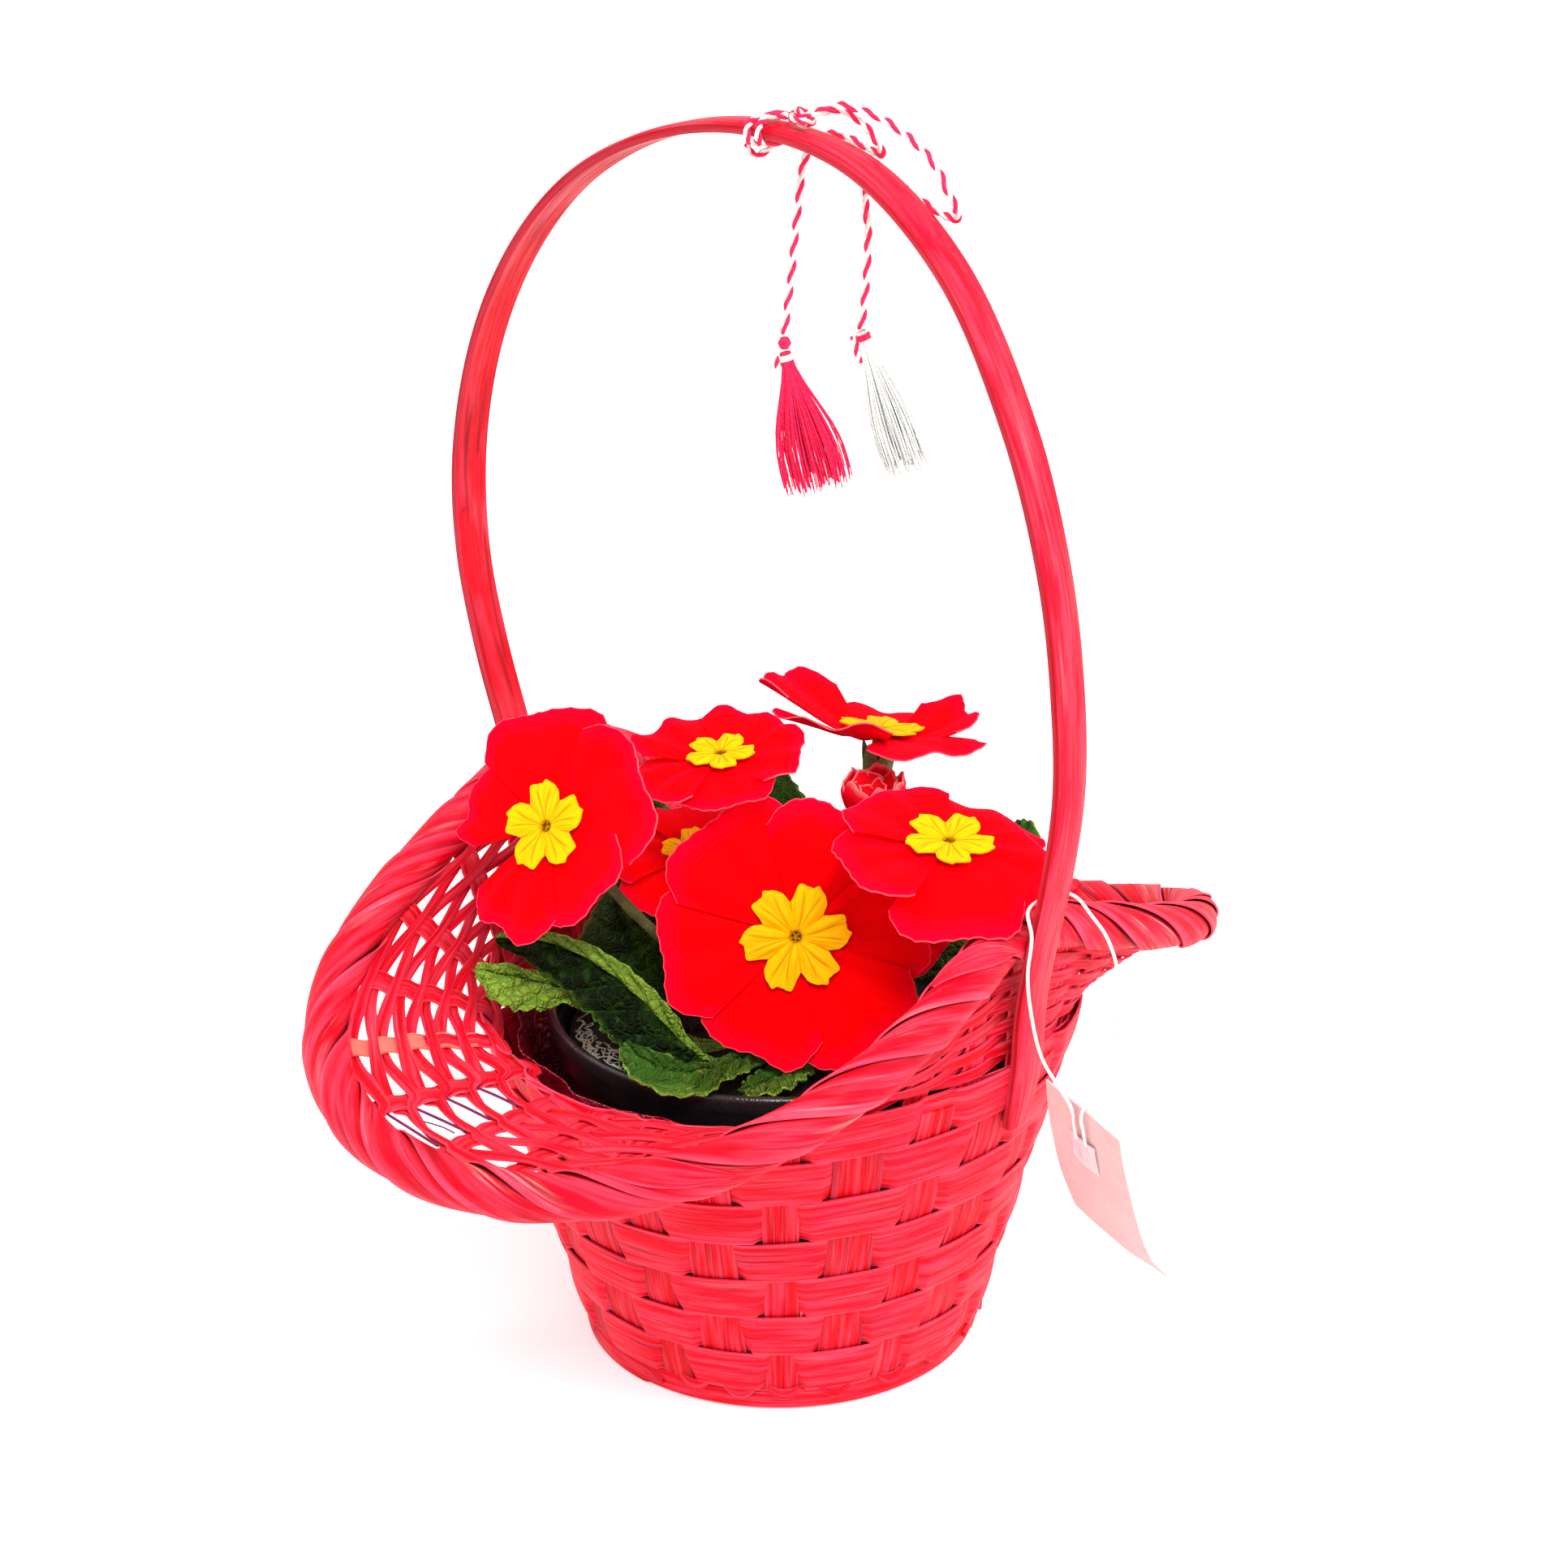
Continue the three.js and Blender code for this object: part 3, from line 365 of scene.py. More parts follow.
def join(name: str, pieces: Sequence[Piece]) -> Piece:
    """Joins pieces into one object under a name."""
    deselect()
    for piece in pieces:
        piece.select_set(True)
    bpy.context.view_layer.objects.active = pieces[0]
    if len(pieces) > 1:
        bpy.ops.object.join()
    whole = bpy.context.object
    whole.name = whole.data.name = name
    return whole


def weld(piece: Piece, outward: bool = False) -> Piece:
    """Closes seams and poles by merging points that lie together."""
    choose(piece)
    bpy.ops.object.mode_set(mode="EDIT")
    bpy.ops.mesh.select_all(action="SELECT")
    bpy.ops.mesh.remove_doubles(threshold=2e-6)
    if outward:
        bpy.ops.mesh.normals_make_consistent(inside=False)
    bpy.ops.object.mode_set(mode="OBJECT")
    return piece


def thicken(piece: Piece, thickness: float, offset: float = 0.0, under: bool = False) -> Piece:
    """Gives a sheet its thickness.

    Args:
        piece: the sheet.
        thickness: in millimetres.
        offset: -1 puts it all behind the sheet, 0 half on each side.
        under: gives the back and the rim the piece's second material.

    Returns:
        The same piece.
    """
    choose(piece)
    wall = piece.modifiers.new("wall", "SOLIDIFY")
    wall.thickness = thickness * MM
    wall.offset = offset
    wall.use_even_offset = False
    if under:
        wall.material_offset = 1
        wall.material_offset_rim = 1
    bpy.ops.object.modifier_apply(modifier=wall.name)
    return piece


def soften(piece: Piece, angle: float = 42.0) -> Piece:
    """Shades a piece smooth, with edges sharper than the angle kept crisp."""
    choose(piece)
    bpy.ops.object.shade_smooth_by_angle(angle=math.radians(angle))
    return piece


def tube(
    name: str,
    points: Sequence[Vector],
    radius: Union[float, Callable[[float], float]],
    sides: int = 8,
    tone: Tone = 0.5,
) -> Piece:
    """A round, closed tube along points.

    Args:
        name: the object's name.
        points: its middle line, in millimetres.
        radius: its radius, or a rule for it from the share of the length.
        sides: how many sides it has.
        tone: the value of the tone attribute.

    Returns:
        The new object; its UV map is in millimetres.
    """
    frames = carried_frames(points)
    last = len(points) - 1
    length = Line(points).length
    girth = 2 * math.pi * (radius if isinstance(radius, float) else radius(0.5))

    def place(u: float, v: float) -> Vector:
        """A point on the wall: round it by u, along it by v."""
        row = round(v * (last + 2)) - 1
        index = min(last, max(0, row))
        side, lift = frames[index]
        reach = radius if isinstance(radius, float) else radius(index / last)
        reach = reach if 0 <= row <= last else 0.0
        angle = 2 * math.pi * u
        return points[index] + side * (reach * math.cos(angle)) + lift * (reach * math.sin(angle))

    return weld(sheet(name, sides, last + 2, place, (girth, length), tone))


def turned(name: str, profile: Sequence[tuple[float, float]], segments: int) -> Piece:
    """A body turned about Z from a profile of (radius, height) that runs from pole to pole.

    Args:
        name: the object's name.
        profile: points from the underside's middle, out and up, to the top's middle.
        segments: how many sides it has.

    Returns:
        The new object; its UV map is in millimetres.
    """
    length = sum(math.dist(a, b) for a, b in zip(profile, profile[1:]))
    widest = max(radius for radius, _ in profile)

    def place(u: float, v: float) -> Vector:
        """The profile point of a row, turned by u."""
        radius, z = profile[round(v * (len(profile) - 1))]
        return polar(radius, 360 * u, z)

    body = sheet(name, segments, len(profile) - 1, place, (2 * math.pi * widest, length))
    return weld(body, outward=True)


def dress(piece: Piece, slot: str, materials: Sequence[Material], *nodes: str) -> None:
    """Gives a finished piece its materials and body, and hides the CAD nodes that it stands for.

    Args:
        piece: the finished piece.
        slot: the name of a material slot; not used.
        materials: its materials; none keeps those it has.
        nodes: the CAD nodes that it replaces.
    """
    if materials:
        piece.data.materials.clear()
        paint(piece, *materials)
    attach(piece, "root")
    if nodes:
        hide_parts(*nodes)
    LOG.info("%s: %d faces", piece.name, len(piece.data.polygons))


# ---------------------------------------------------------------- node trees


class Tree:
    """A node tree being written."""

    def __init__(self, tree: NodeTree) -> None:
        """Starts from an empty tree."""
        self.tree = tree
        tree.nodes.clear()

    def node(self, kind: str, inputs: Optional[dict] = None, **settings: object) -> Node:
        """Adds a node.

        Args:
            kind: the node's type without its ShaderNode prefix, or a whole type name.
            inputs: values or sockets by input name or number.
            settings: the node's own properties.

        Returns:
            The node.
        """
        full = kind if kind.startswith(("ShaderNode", "NodeGroup")) else "ShaderNode" + kind
        made = self.tree.nodes.new(full)
        for key, value in settings.items():
            setattr(made, key, value)
        for key, value in (inputs or {}).items():
            if isinstance(value, Socket):
                self.tree.links.new(value, made.inputs[key])
            else:
                made.inputs[key].default_value = value
        return made

    def math(self, operation: str, a: object, b: object = 0.0) -> Socket:
        """One operation on two values or sockets."""
        return self.node("Math", {0: a, 1: b}, operation=operation).outputs[0]

    def times(self, a: object, b: object) -> Socket:
        """The product of two values or sockets."""
        return self.math("MULTIPLY", a, b)

    def plus(self, a: object, b: object) -> Socket:
        """The sum of two values or sockets."""
        return self.math("ADD", a, b)

    def blend(self, share: object, a: object, b: object) -> Socket:
        """A colour a share of the way from a to b."""
        return self.node("Mix", {0: share, 6: rgba(a), 7: rgba(b)}, data_type="RGBA").outputs[2]

    def fit(
        self, value: object, low: float, high: float, to_low: float = 0.0, to_high: float = 1.0
    ) -> Socket:
        """A value moved from one range to another, and held in it."""
        return self.node("MapRange", {0: value, 1: low, 2: high, 3: to_low, 4: to_high}).outputs[0]

    def attribute(self, name: str) -> Socket:
        """The value of a mesh attribute."""
        return self.node("Attribute", attribute_name=name).outputs["Fac"]

    def uv(self) -> Socket:
        """The piece's UV map."""
        return self.node("TexCoord").outputs["UV"]

    def uv_parts(self) -> tuple[Socket, Socket]:
        """The u and the v of the piece's UV map."""
        parts = self.node("SeparateXYZ", {0: self.uv()}).outputs
        return parts[0], parts[1]

    def spot(self, x: object, y: object, z: object = 0.0) -> Socket:
        """The vector of three values or sockets."""
        return self.node("CombineXYZ", {0: x, 1: y, 2: z}).outputs[0]

    def noise(self, at: object, scale: object, detail: float) -> Socket:
        """Smooth noise at a place."""
        return self.node("TexNoise", {"Vector": at, "Scale": scale, "Detail": detail}).outputs[0]

    def cells(self, at: object, scale: object) -> Socket:
        """How far a place is from the border of its Voronoi cell."""
        return self.node("TexVoronoi", {"Vector": at, "Scale": scale}, feature="DISTANCE_TO_EDGE").outputs[0]

    def group(self, tree: NodeTree, scale: float) -> Node:
        """A node group at a scale, read at the place on the piece in metres."""
        place = self.node("TexCoord").outputs["Object"]
        return self.node("Group", {"Vector": place, "Scale": scale}, node_tree=tree)


def rgba(colour: object) -> object:
    """A colour with full alpha, or the socket that it already is."""
    return (*colour, 1.0) if isinstance(colour, tuple) and len(colour) == 3 else colour


def shader_group(
    name: str,
    setting: str,
    outputs: Sequence[str],
    write: Callable[[Tree, Node], dict[str, Socket]],
) -> NodeTree:
    """A node group that reads a vector and one number, made once.

    Args:
        name: the group's name.
        setting: the number's name.
        outputs: the names of the numbers that it gives.
        write: fills the group and returns what feeds each output.

    Returns:
        The group.
    """
    if name in bpy.data.node_groups:
        return bpy.data.node_groups[name]
    group = bpy.data.node_groups.new(name, "ShaderNodeTree")
    group.interface.new_socket("Vector", in_out="INPUT", socket_type="NodeSocketVector")
    group.interface.new_socket(setting, in_out="INPUT", socket_type="NodeSocketFloat")
    for key in outputs:
        group.interface.new_socket(key, in_out="OUTPUT", socket_type="NodeSocketFloat")
    tree = Tree(group)
    entry = tree.node("NodeGroupInput")
    results = write(tree, entry)
    leave = tree.node("NodeGroupOutput")
    for key, socket in results.items():
        group.links.new(socket, leave.inputs[key])
    return group


def fibre_group() -> NodeTree:
    """Lines that run along v of a UV map in millimetres: fine fibres, broad streaks and flecks."""

    def write(tree: Tree, entry: Node) -> dict[str, Socket]:
        """Fills the group."""
        parts = tree.node("SeparateXYZ", {0: entry.outputs["Vector"]})
        fine = entry.outputs["Fineness"]

        def lines(across: float, along: float, detail: float) -> Socket:
            """Noise drawn out along v."""
            x = tree.times(tree.times(parts.outputs[0], across), fine)
            return tree.noise(tree.spot(x, tree.times(parts.outputs[1], along)), 1.0, detail)

        return {
            "Fibre": tree.fit(lines(2.4, 0.045, 2.0), 0.36, 0.64),
            "Streak": tree.fit(lines(0.6, 0.045, 2.0), 0.42, 0.64),
            "Worn": tree.fit(lines(0.34, 0.03, 4.0), 0.56, 0.68),
            "Line": tree.fit(lines(1.9, 0.035, 1.0), 0.57, 0.66),
            "Fleck": tree.fit(lines(1.5, 0.45, 3.0), 0.64, 0.76),
        }

    return shader_group("split fibre", "Fineness", ("Fibre", "Streak", "Worn", "Line", "Fleck"), write)


def mottle_group() -> NodeTree:
    """Soft patches and fine grain in any coordinates."""

    def write(tree: Tree, entry: Node) -> dict[str, Socket]:
        """Fills the group."""
        spot, size = entry.outputs["Vector"], entry.outputs["Scale"]
        broad = tree.noise(spot, size, 3.0)
        grain = tree.noise(spot, tree.times(size, 9.0), 3.0)
        return {"Patch": tree.fit(broad, 0.3, 0.7), "Grain": tree.fit(grain, 0.3, 0.7)}

    return shader_group("mottle", "Scale", ("Patch", "Grain"), write)


def vein_group() -> NodeTree:
    """A net of fine veins in any coordinates: 0 on a vein, 1 in the middle of a cell."""

    def write(tree: Tree, entry: Node) -> dict[str, Socket]:
        """Fills the group."""
        spot, size = entry.outputs["Vector"], entry.outputs["Scale"]
        coarse, fine = tree.cells(spot, size), tree.cells(spot, tree.times(size, 2.6))
        net = tree.math("MINIMUM", tree.fit(coarse, 0.0, 0.16), tree.fit(fine, 0.0, 0.3, 0.45, 1.0))
        return {"Net": net}

    return shader_group("vein net", "Scale", ("Net",), write)


@dataclass(frozen=True)
class Gloss:
    """How a surface shines; its numbers are set on the shader's own sockets."""

    roughness: float = 0.6
    specular: float = 0.4
    sheen: float = 0.0
    sheen_tint: Colour = (1.0, 1.0, 1.0)
    coat: float = 0.0
    coat_roughness: float = 0.2
    subsurface: float = 0.0


def new_material(name: str) -> tuple[Material, Tree]:
    """An empty node material and its tree."""
    material = bpy.data.materials.new(name)
    material.use_nodes = True
    return material, Tree(material.node_tree)


def close_material(
    material: Material,
    tree: Tree,
    colour: object,
    gloss: Gloss,
    height: Optional[Socket] = None,
    depth: float = 0.2,
    roughness: Optional[Socket] = None,
    alpha: Optional[object] = None,
) -> Material:
    """Ends a material with its shader.

    Args:
        material: the material.
        tree: its tree.
        colour: the base colour.
        gloss: its shine.
        height: what the bump reads.
        depth: the bump's depth in millimetres.
        roughness: a roughness that varies over the surface.
        alpha: how solid it is.

    Returns:
        The material.
    """
    inputs = {
        "Base Color": rgba(colour),
        "Roughness": gloss.roughness if roughness is None else roughness,
        "Specular IOR Level": gloss.specular,
        "Sheen Weight": gloss.sheen,
        "Sheen Tint": (*gloss.sheen_tint, 1.0),
        "Coat Weight": gloss.coat,
        "Coat Roughness": gloss.coat_roughness,
        "Subsurface Weight": gloss.subsurface,
        "Subsurface Scale": 0.002,
    }
    if alpha is not None:
        inputs["Alpha"] = alpha
    if height is not None:
        bump = tree.node("Bump", {"Height": height, "Distance": depth * MM, "Strength": 1.0})
        inputs["Normal"] = bump.outputs[0]
    shader = tree.node("BsdfPrincipled", inputs)
    tree.node("OutputMaterial", {"Surface": shader.outputs[0]})
    return material


# ---------------------------------------------------------------- finishes


@dataclass(frozen=True)
class DyedBamboo:
    """Split bamboo dyed crimson: fibres along the strip, a painted highlight along the edges, and dark lines
    and flecks.

    A strip whose tone is above 1.2 took no dye and shows the bare, tan bamboo. A low tone is partly the
    strip's uneven dye and partly painted shade, where it lies in a crease, tucks behind another or turns a
    side away; below 0 it darkens towards the dark colour, as painted shade, or as a dark loose fibre.
    """

    name: str = "dyed bamboo"
    deep: Colour = (0.64, 0.0, 0.006)
    dye: Colour = (0.90, 0.0, 0.022)
    # pale: the colour of the streaks, and of the painted highlight along the edges
    pale: Colour = (1.0, 0.10, 0.19)
    bare: Colour = (0.82, 0.165, 0.12)
    # dark: the colour of dark lines and flecks, and of painted shade where the tone is below 0
    dark: Colour = (0.16, 0.0, 0.005)
    scuff: Colour = (1.0, 0.40, 0.40)
    fineness: float = 1.0
    shine: float = 0.42
    flecks: float = 0.35
    scuffs: float = 0.12
    gloss: Gloss = Gloss(roughness=0.5, specular=0.10)

    def material(self) -> Material:
        """Builds the material."""
        material, tree = new_material(self.name)
        tone = tree.attribute("tone")
        inputs = {"Vector": tree.uv(), "Fineness": self.fineness}
        lines = tree.node("Group", inputs, node_tree=fibre_group()).outputs
        fibre, middle = lines["Fibre"], self.gloss.roughness
        worn = tree.times(tree.fit(fibre, 0.15, 0.8), lines["Worn"])
        # the tone blends deep to dye: the strip's uneven dye, and painted shade from each piece's tone rule
        colour = tree.blend(tree.fit(tone, 0.0, 1.0), self.deep, self.dye)
        for share, over in (
            (tree.times(lines["Streak"], self.shine), self.pale),
            (tree.fit(fibre, 0.0, 1.0, 0.5, 0.0), self.deep),
            (tree.times(worn, self.scuffs), self.scuff),
            (tree.times(lines["Line"], 0.6), self.dark),
            (tree.times(lines["Fleck"], self.flecks), self.dark),
            # painted highlight: the edge attribute lightens a strip's edges, or a rim strip's raised edge
            (tree.times(tree.fit(tree.attribute("edge"), 0.86, 1.0), 0.42), self.pale),
            # painted shade: a tone below 0 darkens creases, tucks and sides turned away; a dark loose fibre
            # also uses it
            (tree.fit(tone, 0.0, -0.8), self.dark),
            (tree.fit(tone, 1.2, 1.6), self.bare),
        ):
            colour = tree.blend(share, colour, over)
        height = tree.plus(tree.times(fibre, 0.6), lines["Streak"])
        rough = tree.fit(fibre, 0.0, 1.0, middle - 0.12, middle + 0.12)
        return close_material(material, tree, colour, self.gloss, height, 0.12, rough)


@dataclass(frozen=True)
class RedPetal:
    """A velvety red lobe: faint veins that fan out, a deeper throat, painted magenta shade towards its rim
    and a thin painted glow of light along its margin.
    """

    name: str = "red petal"
    red: Colour = (0.97, 0.0, 0.0015)
    deep: Colour = (0.66, 0.0, 0.001)
    # painted shade: a deeper magenta towards the lobe's rim
    outer_shade: Colour = (0.86, 0.0, 0.035)
    # margin: a painted glow of light through the thin edge, as wide as rimmed says
    margin: Colour = (0.95, 0.16, 0.20)
    rimmed: float = 0.012
    gloss: Gloss = Gloss(roughness=0.75, specular=0.02, sheen=0.22, sheen_tint=(1.0, 0.0, 0.12))

    def material(self) -> Material:
        """Builds the material."""
        material, tree = new_material(self.name)
        u, v = tree.uv_parts()
        fan = tree.spot(tree.times(u, 26.0), tree.times(v, 1.6), tree.attribute("tone"))
        vein = tree.fit(tree.noise(fan, 1.0, 3.0), 0.36, 0.60)
        grain = tree.group(mottle_group(), 420.0).outputs["Grain"]
        throat = tree.plus(tree.times(tree.fit(v, 0.10, 0.62), 0.65), 0.35)
        colour = tree.blend(throat, self.deep, self.red)
        for share, over in (
            # painted shade towards the lobe's rim
            (tree.times(tree.fit(v, 0.80, 1.0), 0.55), self.outer_shade),
            (tree.times(vein, 0.10), self.deep),
            (tree.times(grain, 0.08), self.deep),
            # painted glow of light along the margin
            (tree.times(tree.fit(v, 1.0 - self.rimmed, 1.0), 0.55), self.margin),
        ):
            colour = tree.blend(share, colour, over)
        height = tree.plus(vein, tree.times(grain, 0.5))
        return close_material(material, tree, colour, self.gloss, height, 0.06)


@dataclass(frozen=True)
class YellowEye:
    """The yellow star round the throat, with darker lines that run outwards, amber pleats and painted shade
    in the throat's hollow.
    """

    name: str = "yellow eye"
    yellow: Colour = (0.97, 0.50, 0.001)
    amber: Colour = (0.50, 0.15, 0.0)
    # throat: painted shade, near black, in the hollow of the throat
    throat: Colour = (0.05, 0.026, 0.002)
    gloss: Gloss = Gloss(roughness=0.62, specular=0.05)

    def material(self) -> Material:
        """Builds the material."""
        material, tree = new_material(self.name)
        u, v = tree.uv_parts()
        lines = tree.noise(tree.spot(tree.times(u, 90.0), tree.times(v, 1.5)), 1.0, 2.0)
        line = tree.fit(lines, 0.46, 0.66)
        grain = tree.group(mottle_group(), 600.0).outputs["Grain"]
        ragged = tree.plus(v, tree.times(tree.fit(lines, 0.35, 0.65), 0.07))
        colour = tree.blend(tree.times(line, 0.22), self.yellow, self.amber)
        for share, over in (
            (tree.times(tree.fit(tree.attribute("edge"), 0.1, 0.9), 0.8), self.amber),
            (tree.times(grain, 0.10), self.amber),
            # painted shade down the throat's hollow
            (tree.times(tree.fit(ragged, 0.26, 0.37, 1.0, 0.0), 0.92), self.throat),
        ):
            colour = tree.blend(share, colour, over)
        return close_material(material, tree, colour, self.gloss, line, 0.08)


@dataclass(frozen=True)
class LeafSkin:
    """A puckered leaf face: pale veins in a darker green, with a fine net between them.

    The edge attribute carries painted light and shade: 0 is the darkest painted shade, 0.5 the plain green
    and 1 a painted sunlit olive. The shade and light colours are these painted colours.
    """

    name: str
    shade: Colour
    dark: Colour
    green: Colour
    light: Colour
    vein: Colour
    gloss: Gloss = Gloss(roughness=0.46, specular=0.13)

    def material(self) -> Material:
        """Builds the material."""
        material, tree = new_material(self.name)
        swell, painted_light = tree.attribute("tone"), tree.attribute("edge")
        cells = tree.group(vein_group(), 430.0).outputs["Net"]
        patch = tree.group(mottle_group(), 110.0).outputs
        ground = tree.blend(patch["Patch"], self.dark, self.green)
        # painted shade: below 0.5 the ground turns towards the shade colour
        shaded = tree.blend(tree.fit(painted_light, 0.5, 0.0), ground, self.shade)
        # painted light: above 0.5 it turns towards the sunlit light colour
        sunlit = tree.blend(tree.fit(painted_light, 0.5, 1.0, 0.0, 0.9), shaded, self.light)
        # the veins' paleness also follows the painted light and shade
        pale = tree.blend(tree.fit(painted_light, 0.0, 0.8), self.dark, self.vein)
        netted = tree.blend(tree.fit(cells, 0.0, 0.7, 0.5, 0.0), sunlit, pale)
        ribs = tree.fit(swell, 0.06, 0.42, 0.85, 0.0)
        colour = tree.blend(ribs, netted, pale)
        middle = self.gloss.roughness
        rough = tree.fit(patch["Grain"], 0.0, 1.0, middle - 0.08, middle + 0.14)
        height = tree.plus(cells, tree.times(swell, 0.8))
        return close_material(material, tree, colour, self.gloss, height, 0.75, rough)


@dataclass(frozen=True)
class Mottled:
    """A plain surface with soft patches, grain and a bump of its own."""

    name: str
    low: Colour
    high: Colour
    fleck: Colour
    scale: float = 120.0
    fleck_share: float = 0.2
    depth: float = 0.12
    gloss: Gloss = Gloss()
    alpha: Optional[float] = None

    def material(self) -> Material:
        """Builds the material."""
        material, tree = new_material(self.name)
        mottle = tree.group(mottle_group(), self.scale).outputs
        patch, grain, middle = mottle["Patch"], mottle["Grain"], self.gloss.roughness
        tone = tree.math("SUBTRACT", tree.times(tree.attribute("tone"), 0.5), 0.1)
        ground = tree.blend(tree.plus(tree.times(patch, 0.6), tone), self.low, self.high)
        share = tree.times(tree.fit(grain, 0.55, 0.95), self.fleck_share)
        colour = tree.blend(share, ground, self.fleck)
        rough = tree.fit(grain, 0.0, 1.0, middle * 0.85, min(1.0, middle * 1.2))
        height = tree.plus(grain, patch)
        return close_material(material, tree, colour, self.gloss, height, self.depth, rough, self.alpha)


@dataclass(frozen=True)
class SpunThread:
    """Spun thread: fine fibres that run round and along it."""

    name: str
    low: Colour
    high: Colour
    gloss: Gloss = Gloss(roughness=0.6, specular=0.12, sheen=0.06)

    def material(self) -> Material:
        """Builds the material."""
        material, tree = new_material(self.name)
        u, v = tree.uv_parts()
        tone = tree.attribute("tone")
        slant = tree.plus(tree.times(u, 1.6), tree.times(v, 0.9))
        spot = tree.spot(slant, tree.times(v, 0.25), tree.times(tone, 23.0))
        fibre = tree.fit(tree.noise(spot, 3.2, 2.0), 0.32, 0.66)
        lit = tree.plus(tree.times(fibre, 0.65), tree.times(tone, 0.35))
        colour = tree.blend(lit, self.low, self.high)
        return close_material(material, tree, colour, self.gloss, fibre, 0.08)


class Finishes:
    """Every material of the object, built once."""

    def __init__(self) -> None:
        """Builds the materials."""
        self.bamboo = DyedBamboo(fineness=1.45).material()
        self.slat = DyedBamboo(
            name="dyed slat", deep=(0.64, 0.0, 0.010), dye=(0.88, 0.0, 0.026), pale=(1.0, 0.10, 0.17),
            fineness=0.6, shine=0.34, flecks=0.6, gloss=Gloss(roughness=0.42, specular=0.12),
        ).material()
        self.wound = DyedBamboo(
            name="wound bamboo", deep=(0.62, 0.0, 0.007), dye=(0.84, 0.0, 0.020), fineness=0.8, flecks=0.5,
            scuffs=0.4,
        ).material()
        self.petal = RedPetal().material()
        # The bud's margin is a wider painted glow of light.
        self.young = RedPetal(name="young petal", red=(1.0, 0.006, 0.016), deep=(0.85, 0.0, 0.008),
                              margin=(1.0, 0.35, 0.35), rimmed=0.07).material()
        self.eye = YellowEye().material()
        # Each leaf skin's first colour is painted shade and its fourth a painted sunlit colour.
        self.leaf_top = LeafSkin(
            "leaf upper side", (0.002, 0.007, 0.001), (0.014, 0.062, 0.004), (0.042, 0.150, 0.010),
            (0.29, 0.48, 0.05), (0.17, 0.34, 0.045),
        ).material()
        self.leaf_under = LeafSkin(
            "leaf underside", (0.012, 0.030, 0.004), (0.08, 0.17, 0.02), (0.15, 0.27, 0.035),
            (0.25, 0.37, 0.06), (0.34, 0.45, 0.10),
        ).material()
        downy = Gloss(roughness=0.55, sheen=0.12)
        wet = Gloss(roughness=0.13, specular=0.6, coat=0.5, coat_roughness=0.08)
        self.stem = Mottled(
            "downy stalk", (0.025, 0.036, 0.006), (0.12, 0.14, 0.03), (0.16, 0.09, 0.03), 260.0, gloss=downy,
        ).material()
        self.calyx = Mottled(
            "calyx", (0.05, 0.09, 0.015), (0.19, 0.22, 0.05), (0.26, 0.10, 0.03), 240.0, gloss=downy,
        ).material()
        self.pot = Mottled(
            "black pot plastic", (0.006, 0.006, 0.007), (0.014, 0.014, 0.016), (0.05, 0.05, 0.05),
            180.0, 0.10, 0.05, Gloss(roughness=0.14, specular=0.42),
        ).material()
        self.film = Mottled(
            "crumpled film", (0.14, 0.0, 0.008), (0.62, 0.004, 0.035), (0.95, 0.08, 0.12), 90.0,
            0.3, 0.8, wet,
        ).material()
        self.peat = Mottled(
            "peat", (0.010, 0.006, 0.004), (0.045, 0.028, 0.016), (0.16, 0.12, 0.08), 260.0,
            0.45, 0.9, Gloss(roughness=0.95, specular=0.15),
        ).material()
        self.root = Mottled(
            "pale roots", (0.50, 0.46, 0.36), (0.88, 0.84, 0.70), (0.20, 0.15, 0.09), 500.0,
            gloss=Gloss(roughness=0.85),
        ).material()
        self.crown = Mottled(
            "rootstock", (0.07, 0.07, 0.02), (0.18, 0.16, 0.06), (0.30, 0.20, 0.10), 240.0,
            0.4, 0.8, Gloss(roughness=0.85),
        ).material()
        self.red_thread = SpunThread("red thread", (0.80, 0.0, 0.03), (1.0, 0.03, 0.13)).material()
        self.white_thread = SpunThread("white thread", (0.50, 0.53, 0.52), (0.96, 0.95, 0.90)).material()
        self.card = Mottled(
            "pale pink card", (0.67, 0.46, 0.45), (0.73, 0.53, 0.52), (0.80, 0.66, 0.64), 90.0,
            0.3, 0.05, Gloss(roughness=0.62, specular=0.2),
        ).material()
        self.tape = Mottled(
            "clear tape", (0.90, 0.80, 0.82), (0.97, 0.94, 0.95), (1.0, 1.0, 1.0), 70.0,
            0.5, 0.10, Gloss(roughness=0.18, specular=0.6), 0.62,
        ).material()
        self.fibre = Mottled(
            "loose fibre", (0.10, 0.0, 0.05), (0.32, 0.0, 0.10), (0.02, 0.0, 0.02), 300.0,
            gloss=Gloss(roughness=0.7),
        ).material()


# ---------------------------------------------------------------- studio


